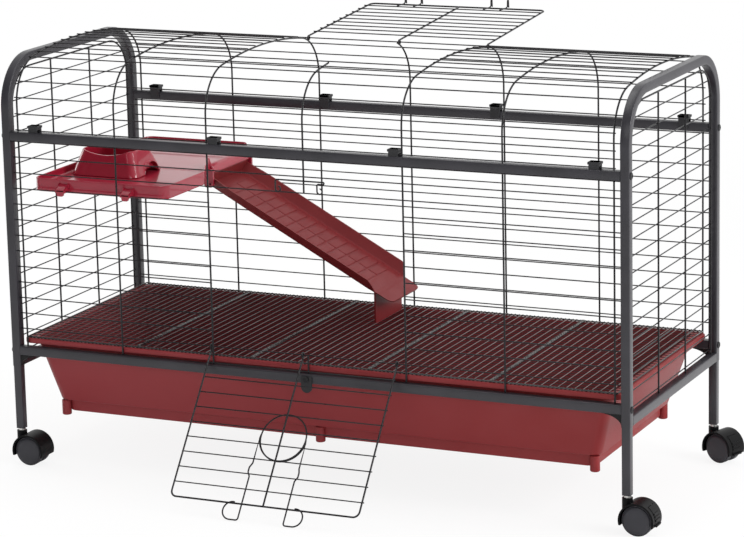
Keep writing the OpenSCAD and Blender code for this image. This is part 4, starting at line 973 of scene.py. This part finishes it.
# Channel section at each station: outer path, then the inner one back, with the
# wall's height and the half width as functions of u. The walls fall off above the
# tongue, whose corners are round. They lean out by a share of their height that
# grows below the ears.
def rampChannel():
    length, t, half, c = ramp["length"], ramp["thick"], ramp["floor"] / 2, ramp["corner"]
    end = length + ramp["tongue"]
    u = np.concatenate([[0, 1, 3], np.linspace(8, length - 24, 24), np.linspace(length - 20, length, 14)[1:],
                        np.linspace(length + 3, end - c - 1, 5),
                        end - c + c * np.sin(np.radians(np.linspace(6, 88, 9)))])
    fall = np.clip((u - (length - 18)) / 18, 0, 1)
    height = t + (ramp["wall"] - t) * (1 - fall ** 1.6)
    width = half - 3 * np.clip((u - length + 12) / 20, 0, 1)
    width = width - (c - np.sqrt(c ** 2 - np.clip(u - (end - c), 0, c) ** 2))
    bend = np.radians(np.linspace(0, 90, 5))
    h, b = height[:, None], width[:, None]

    def halfSection(inset, r):
        y = np.concatenate([-b + inset, -b + inset + r - r * np.cos(bend)], 1)
        return y, np.concatenate([h, np.minimum(inset + r - r * np.sin(bend), h)], 1)

    (outY, outW), (innerY, innerW) = halfSection(0, 3.0), halfSection(t, 2.0)
    y = np.concatenate([outY, -outY[:, ::-1], -innerY, innerY[:, ::-1]], 1)
    w = np.concatenate([outW, outW[:, ::-1], innerW, innerW[:, ::-1]], 1)
    lean = ramp["flare"] + ramp["spread"] * np.clip((u - 18) / 25, 0, 1)
    rings = xyz(u[:, None], y + np.sign(y) * lean[:, None] * w / ramp["wall"], w)
    m, s = w.shape
    i = np.arange(s // 2 - 1)
    head = np.stack([i, s - 1 - i, s - 2 - i, i + 1], -1)
    return rings.reshape(-1, 3), [ringQuads(m, s), head, head[:, ::-1] + (m - 1) * s]


# Pads of a tread: insets of the rounded rectangle, and the heights that go with them
tread = {"first": 26, "spare": 50, "corner": 3, "inset": [0, 0, 0.5, 1.3, 2.4],
         "height": [2.5, 3.6, 4.2, 4.5, 4.6]}


def rampTreads():
    wide = ramp["width"] / 2 - ramp["margin"]
    size = ramp["pitch"] - ramp["gap"]
    count = int((ramp["length"] - tread["spare"]) // ramp["pitch"]) + 1
    inset, height = np.array(tread["inset"]), np.array(tread["height"])
    flat = roundedRect(size / 2 - inset, (wide - 1) / 2 - inset, tread["corner"] - 0.5 * inset, 4)
    ring = xyz(flat[..., 0], flat[..., 1], height[:, None])
    u = tread["first"] + size / 2 + ramp["pitch"] * np.arange(count)
    spot = xyz(u, np.array([[-wide / 2], [wide / 2]]), 0).reshape(-1, 3)
    return lofted(spot[:, None, None] + ring, spot + height[0] * axisZ, spot + height[-1] * axisZ)


# Upright leg from the ramp's lower end down to the mesh floor
def rampLeg():
    x, y, z = rampTurn @ [ramp["length"], 0, 0] + rampAt
    half, low, top = ramp["width"] / 2 - ramp["margin"] + ramp["thick"], net["top"] + 0.2, z + 1.5
    flat = filleted([[-half, low], [half, low], [half, top], [-half, top]], [4, 4, 1, 1], 4)
    return slab(inPlane(flat + [y, 0], 0, x - ramp["thick"])[::-1], ramp["thick"] * axisX)


# Pivot pins, the short wall at the ramp's head and the roll along its top
def rampHead():
    r, length, head, wall = ramp["pin"], ramp["pinLength"], ramp["head"], ramp["wall"]
    profile = filleted([[0.1, 0], [r, 0], [r, length], [0.1, length]], [0, 0.6, 0.6, 0], 3, closed=False)
    pin = turned(profile, [ramp["pinU"], ramp["width"] / 2 - 7, ramp["pinW"]], axisY, 20)
    foot, top = ramp["floor"] / 2 + 1, ramp["floor"] / 2 + ramp["flare"] - 0.5
    face = [[-foot, 1.5], [foot, 1.5], [top, wall], [top, head], [-top, head], [-top, wall]]
    roll = rods([1.5, -top, head], [1.5, top, head], 1.6, axisX, 14)
    return joined(*both(pin, 1), slab(inPlane(face, 0, 0), ramp["thick"] * axisX), roll)


rampBody = placed(joined(rampChannel(), rampTreads(), rampHead()), rampTurn, rampAt)
addPiece("shelf", joined(shelfShell(), shelfHooks(), shelfEars()), "frame", crimson, "shelf")
addPiece("ramp", joined(rampBody, rampLeg()), "ramp", rampRed, "ramp")

# Dish: rounded rectangles that lean in, with the rim cut down by a round dip and
# the foot cut away by an arch at the right end
dish = {"at": [-427, -57.5, 479.7], "halfX": 64, "halfY": 49, "height": 43, "lean": 0.34, "wall": 2.5,
        "floor": 6.5, "dip": 8, "dipRadius": 125, "arch": 24, "archAt": 40, "archX": 26, "outerRows": 30,
        "rows": 44, "sides": 144}


def dishShell():
    hx, hy, h, w, floor = (dish[k] for k in ("halfX", "halfY", "height", "wall", "floor"))
    top = dish["lean"] * h
    path = [[hx - 20, hy - 20, 8, 0], [hx, hy, 14, 0], [hx - top, hy - top, 14, h],
            [hx - top - w, hy - top - w, 12, h], [hx - w - 4, hy - w - 4, 12, floor],
            [hx - 24, hy - 24, 8, floor]]
    rows = filleted(path, [0, 1.5, 1.2, 1.2, 5, 0], 6, closed=False)
    rows = np.concatenate([rows[:1], evened(rows[1:-1], dish["rows"], False), rows[-1:]])
    flat = roundedRect(rows[:, 0], rows[:, 1], rows[:, 2], 8)
    x, y = np.stack([evened(ring, dish["sides"]) for ring in flat], 1).T
    z = np.broadcast_to(rows[:, 3:], x.shape)
    far = dish["dipRadius"]
    dip = h - dish["dip"] + far - np.sqrt(far ** 2 - x ** 2)
    cut = np.maximum(z - np.minimum(dip, h), 0)
    z = z - cut
    y = y * (1 + dish["lean"] * cut / hy)
    notch = 0.9 * np.sqrt(np.maximum(dish["arch"] ** 2 - (y - hy + dish["archAt"]) ** 2, 0)) - 1
    outside = (np.arange(len(rows)) < dish["outerRows"])[:, None]
    z = np.where((x > hx - dish["archX"]) & (z < notch) & outside, notch, z)
    return lofted(xyz(x, y, z)[::-1] + dish["at"], dish["at"] + floor * axisZ, dish["at"])


addPiece("dish", dishShell(), "dish", crimson, "dish")
print("shelf, ramp and dish made")

# Casters: wheel pairs turned about their axle. Tyre, hub and axle cap are one profile.
caster = {"trail": 20, "wheel": 25, "width": 38, "web": 6, "play": 0.8, "axle": 2.4}
headings = {"front_left": (-1, -1, 0), "front_right": (1, -1, 0),
            "rear_left": (-1, 1, 12), "rear_right": (1, 1, -20)}


def wheelPair():
    near, out, r = caster["web"] / 2 + caster["play"], caster["width"] / 2, caster["wheel"]
    profile = filleted([[0.3, near], [r - 3, near], [r, near + 2.5], [r, out - 5], [r - 1.2, out - 3.6],
                        [r - 2.2, out - 3.9], [r - 3, out - 2.2], [r - 6, out - 0.8], [0.3, out]],
                       [0, 1, 1.5, 1.2, 0.5, 0.4, 1.5, 12, 0], 5, closed=False)
    spot = [caster["trail"], 0, r]
    axle = turned([[caster["axle"], -near - 1], [caster["axle"], near + 1]], spot, axisY, 16)
    return joined(*both(turned(profile, spot, axisY, 56), 1), axle)


for name, (sx, sy, heading) in headings.items():
    pair = placed(wheelPair(), turning(2, heading), [sx * postX, sy * postY, 0])
    words = name.split("_")
    addPiece(words[0] + words[1].title() + "Wheels", pair, name + "_wheels", wheelBlack, name + "_wheels")

# CAD nodes that stay, with their finishes
kept = {"tray_lock": black[0], "tray_lock_screw": wire[0], "caster_stems": zinc}
for name in [*(name + "_hood" for name in headings), "front_right_brake", "rear_right_brake"]:
    kept[name] = casterBlack
for name, material in kept.items():
    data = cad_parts[name].data
    data.materials.clear()
    data.materials.append(material)
print("casters made")

# Floor, lamps, world and camera
studio = {"floor": 0.96, "towards": (0.38, 0.82, 0.42), "from": -0.7, "to": 0.8, "dim": 0.14,
          "bright": 1.0, "near": 1.0, "far": 3.2, "shade": 0.87, "reach": 30, "aim": (0, 0, 0.35)}
lamps = {"key": ((3.6, -0.3, 2.0), (1.5, 1.8), 85), "overhead": ((-0.6, 0.0, 3.2), (2.6, 0.8), 16),
         "side": ((-3.4, 0.4, 1.1), (1.1, 1.6), 30), "fill": ((0.2, -3.6, 1.9), (2.2, 1.6), 20)}
white = colour(1, 1, 1)


# Pale floor. To the camera its lit colour is raised by a glow, and further out
# it turns into even white.
def floorFinish():
    f = Finish("studio_floor")
    diffuse = f.node("BsdfDiffuse", values={"Color": colour(*[studio["floor"]] * 3)})
    glow = f.node("Emission", values={"Color": white, "Strength": 1.0})
    away = f.node("VectorMath", {"operation": "LENGTH"}, {0: f.place()}, "Value")
    share = f.eased(away, studio["near"], studio["far"], studio["shade"], 1.0)
    seen = f.node("MixShader", values={0: share, 1: diffuse, 2: glow})
    f.node("OutputMaterial", values={0: f.toCamera(diffuse, seen)})
    return f.owner


def addFloor():
    r = studio["reach"]
    mesh = bpy.data.meshes.new("floor")
    mesh.from_pydata([(-r, -r, 0), (r, -r, 0), (r, r, 0), (-r, r, 0)], [], [(0, 1, 2, 3)])
    mesh.materials.append(floorFinish())
    floor = bpy.data.objects.new("floor", mesh)
    bpy.context.collection.objects.link(floor)


def addLamp(name, spot, size, power):
    lamp = bpy.data.lights.new(name, "AREA")
    lamp.shape = "RECTANGLE"
    lamp.size, lamp.size_y = size
    lamp.energy = power
    holder = bpy.data.objects.new(name, lamp)
    holder.location = spot
    holder.visible_camera = False
    aim = Vector(studio["aim"]) - Vector(spot)
    holder.rotation_euler = aim.to_track_quat("-Z", "Y").to_euler()
    bpy.context.collection.objects.link(holder)


# Light from all round, seen white by the camera. Elsewhere its strength grows
# towards the back, the right and the top, so that front faces stay dark.
def addWorld():
    f = Finish("studio", "worlds")
    way = f.node("TexCoord", output="Generated")
    level = f.node("VectorMath", {"operation": "DOT_PRODUCT"}, {0: way, 1: studio["towards"]}, "Value")
    level = f.eased(level, studio["from"], studio["to"], studio["dim"], studio["bright"])
    lit = f.node("Background", values={0: white, 1: level})
    seen = f.node("Background", values={0: white, 1: 1.0})
    f.node("OutputWorld", values={0: f.toCamera(lit, seen)})
    bpy.context.scene.world = f.owner


# A long lens that looks a little down, with a small turn about its own line
view = {"place": (2.0721, -4.438, 1.467), "look": (-0.41016, 0.88716, -0.21146), "roll": -1.272,
        "lens": 146.39, "sensor": 36, "shift": (0, -0.06), "end": 60}


def addCamera():
    data = bpy.data.cameras.new("camera")
    data.lens, data.sensor_width, data.clip_end = view["lens"], view["sensor"], view["end"]
    data.shift_x, data.shift_y = view["shift"]
    ahead = Vector(view["look"]).normalized()
    right = ahead.cross(Vector((0, 0, 1))).normalized()
    up = right.cross(ahead)
    c, s = math.cos(math.radians(view["roll"])), math.sin(math.radians(view["roll"]))
    turn = Matrix((c * right + s * up, c * up - s * right, -ahead)).transposed()
    camera = bpy.data.objects.new("camera", data)
    camera.matrix_world = Matrix.Translation(view["place"]) @ turn.to_4x4()
    bpy.context.collection.objects.link(camera)
    bpy.context.scene.camera = camera


addFloor()
for name, settings in lamps.items():
    addLamp(name, *settings)
addWorld()
addCamera()
bpy.context.scene.view_settings.view_transform = "Standard"
print("studio made")
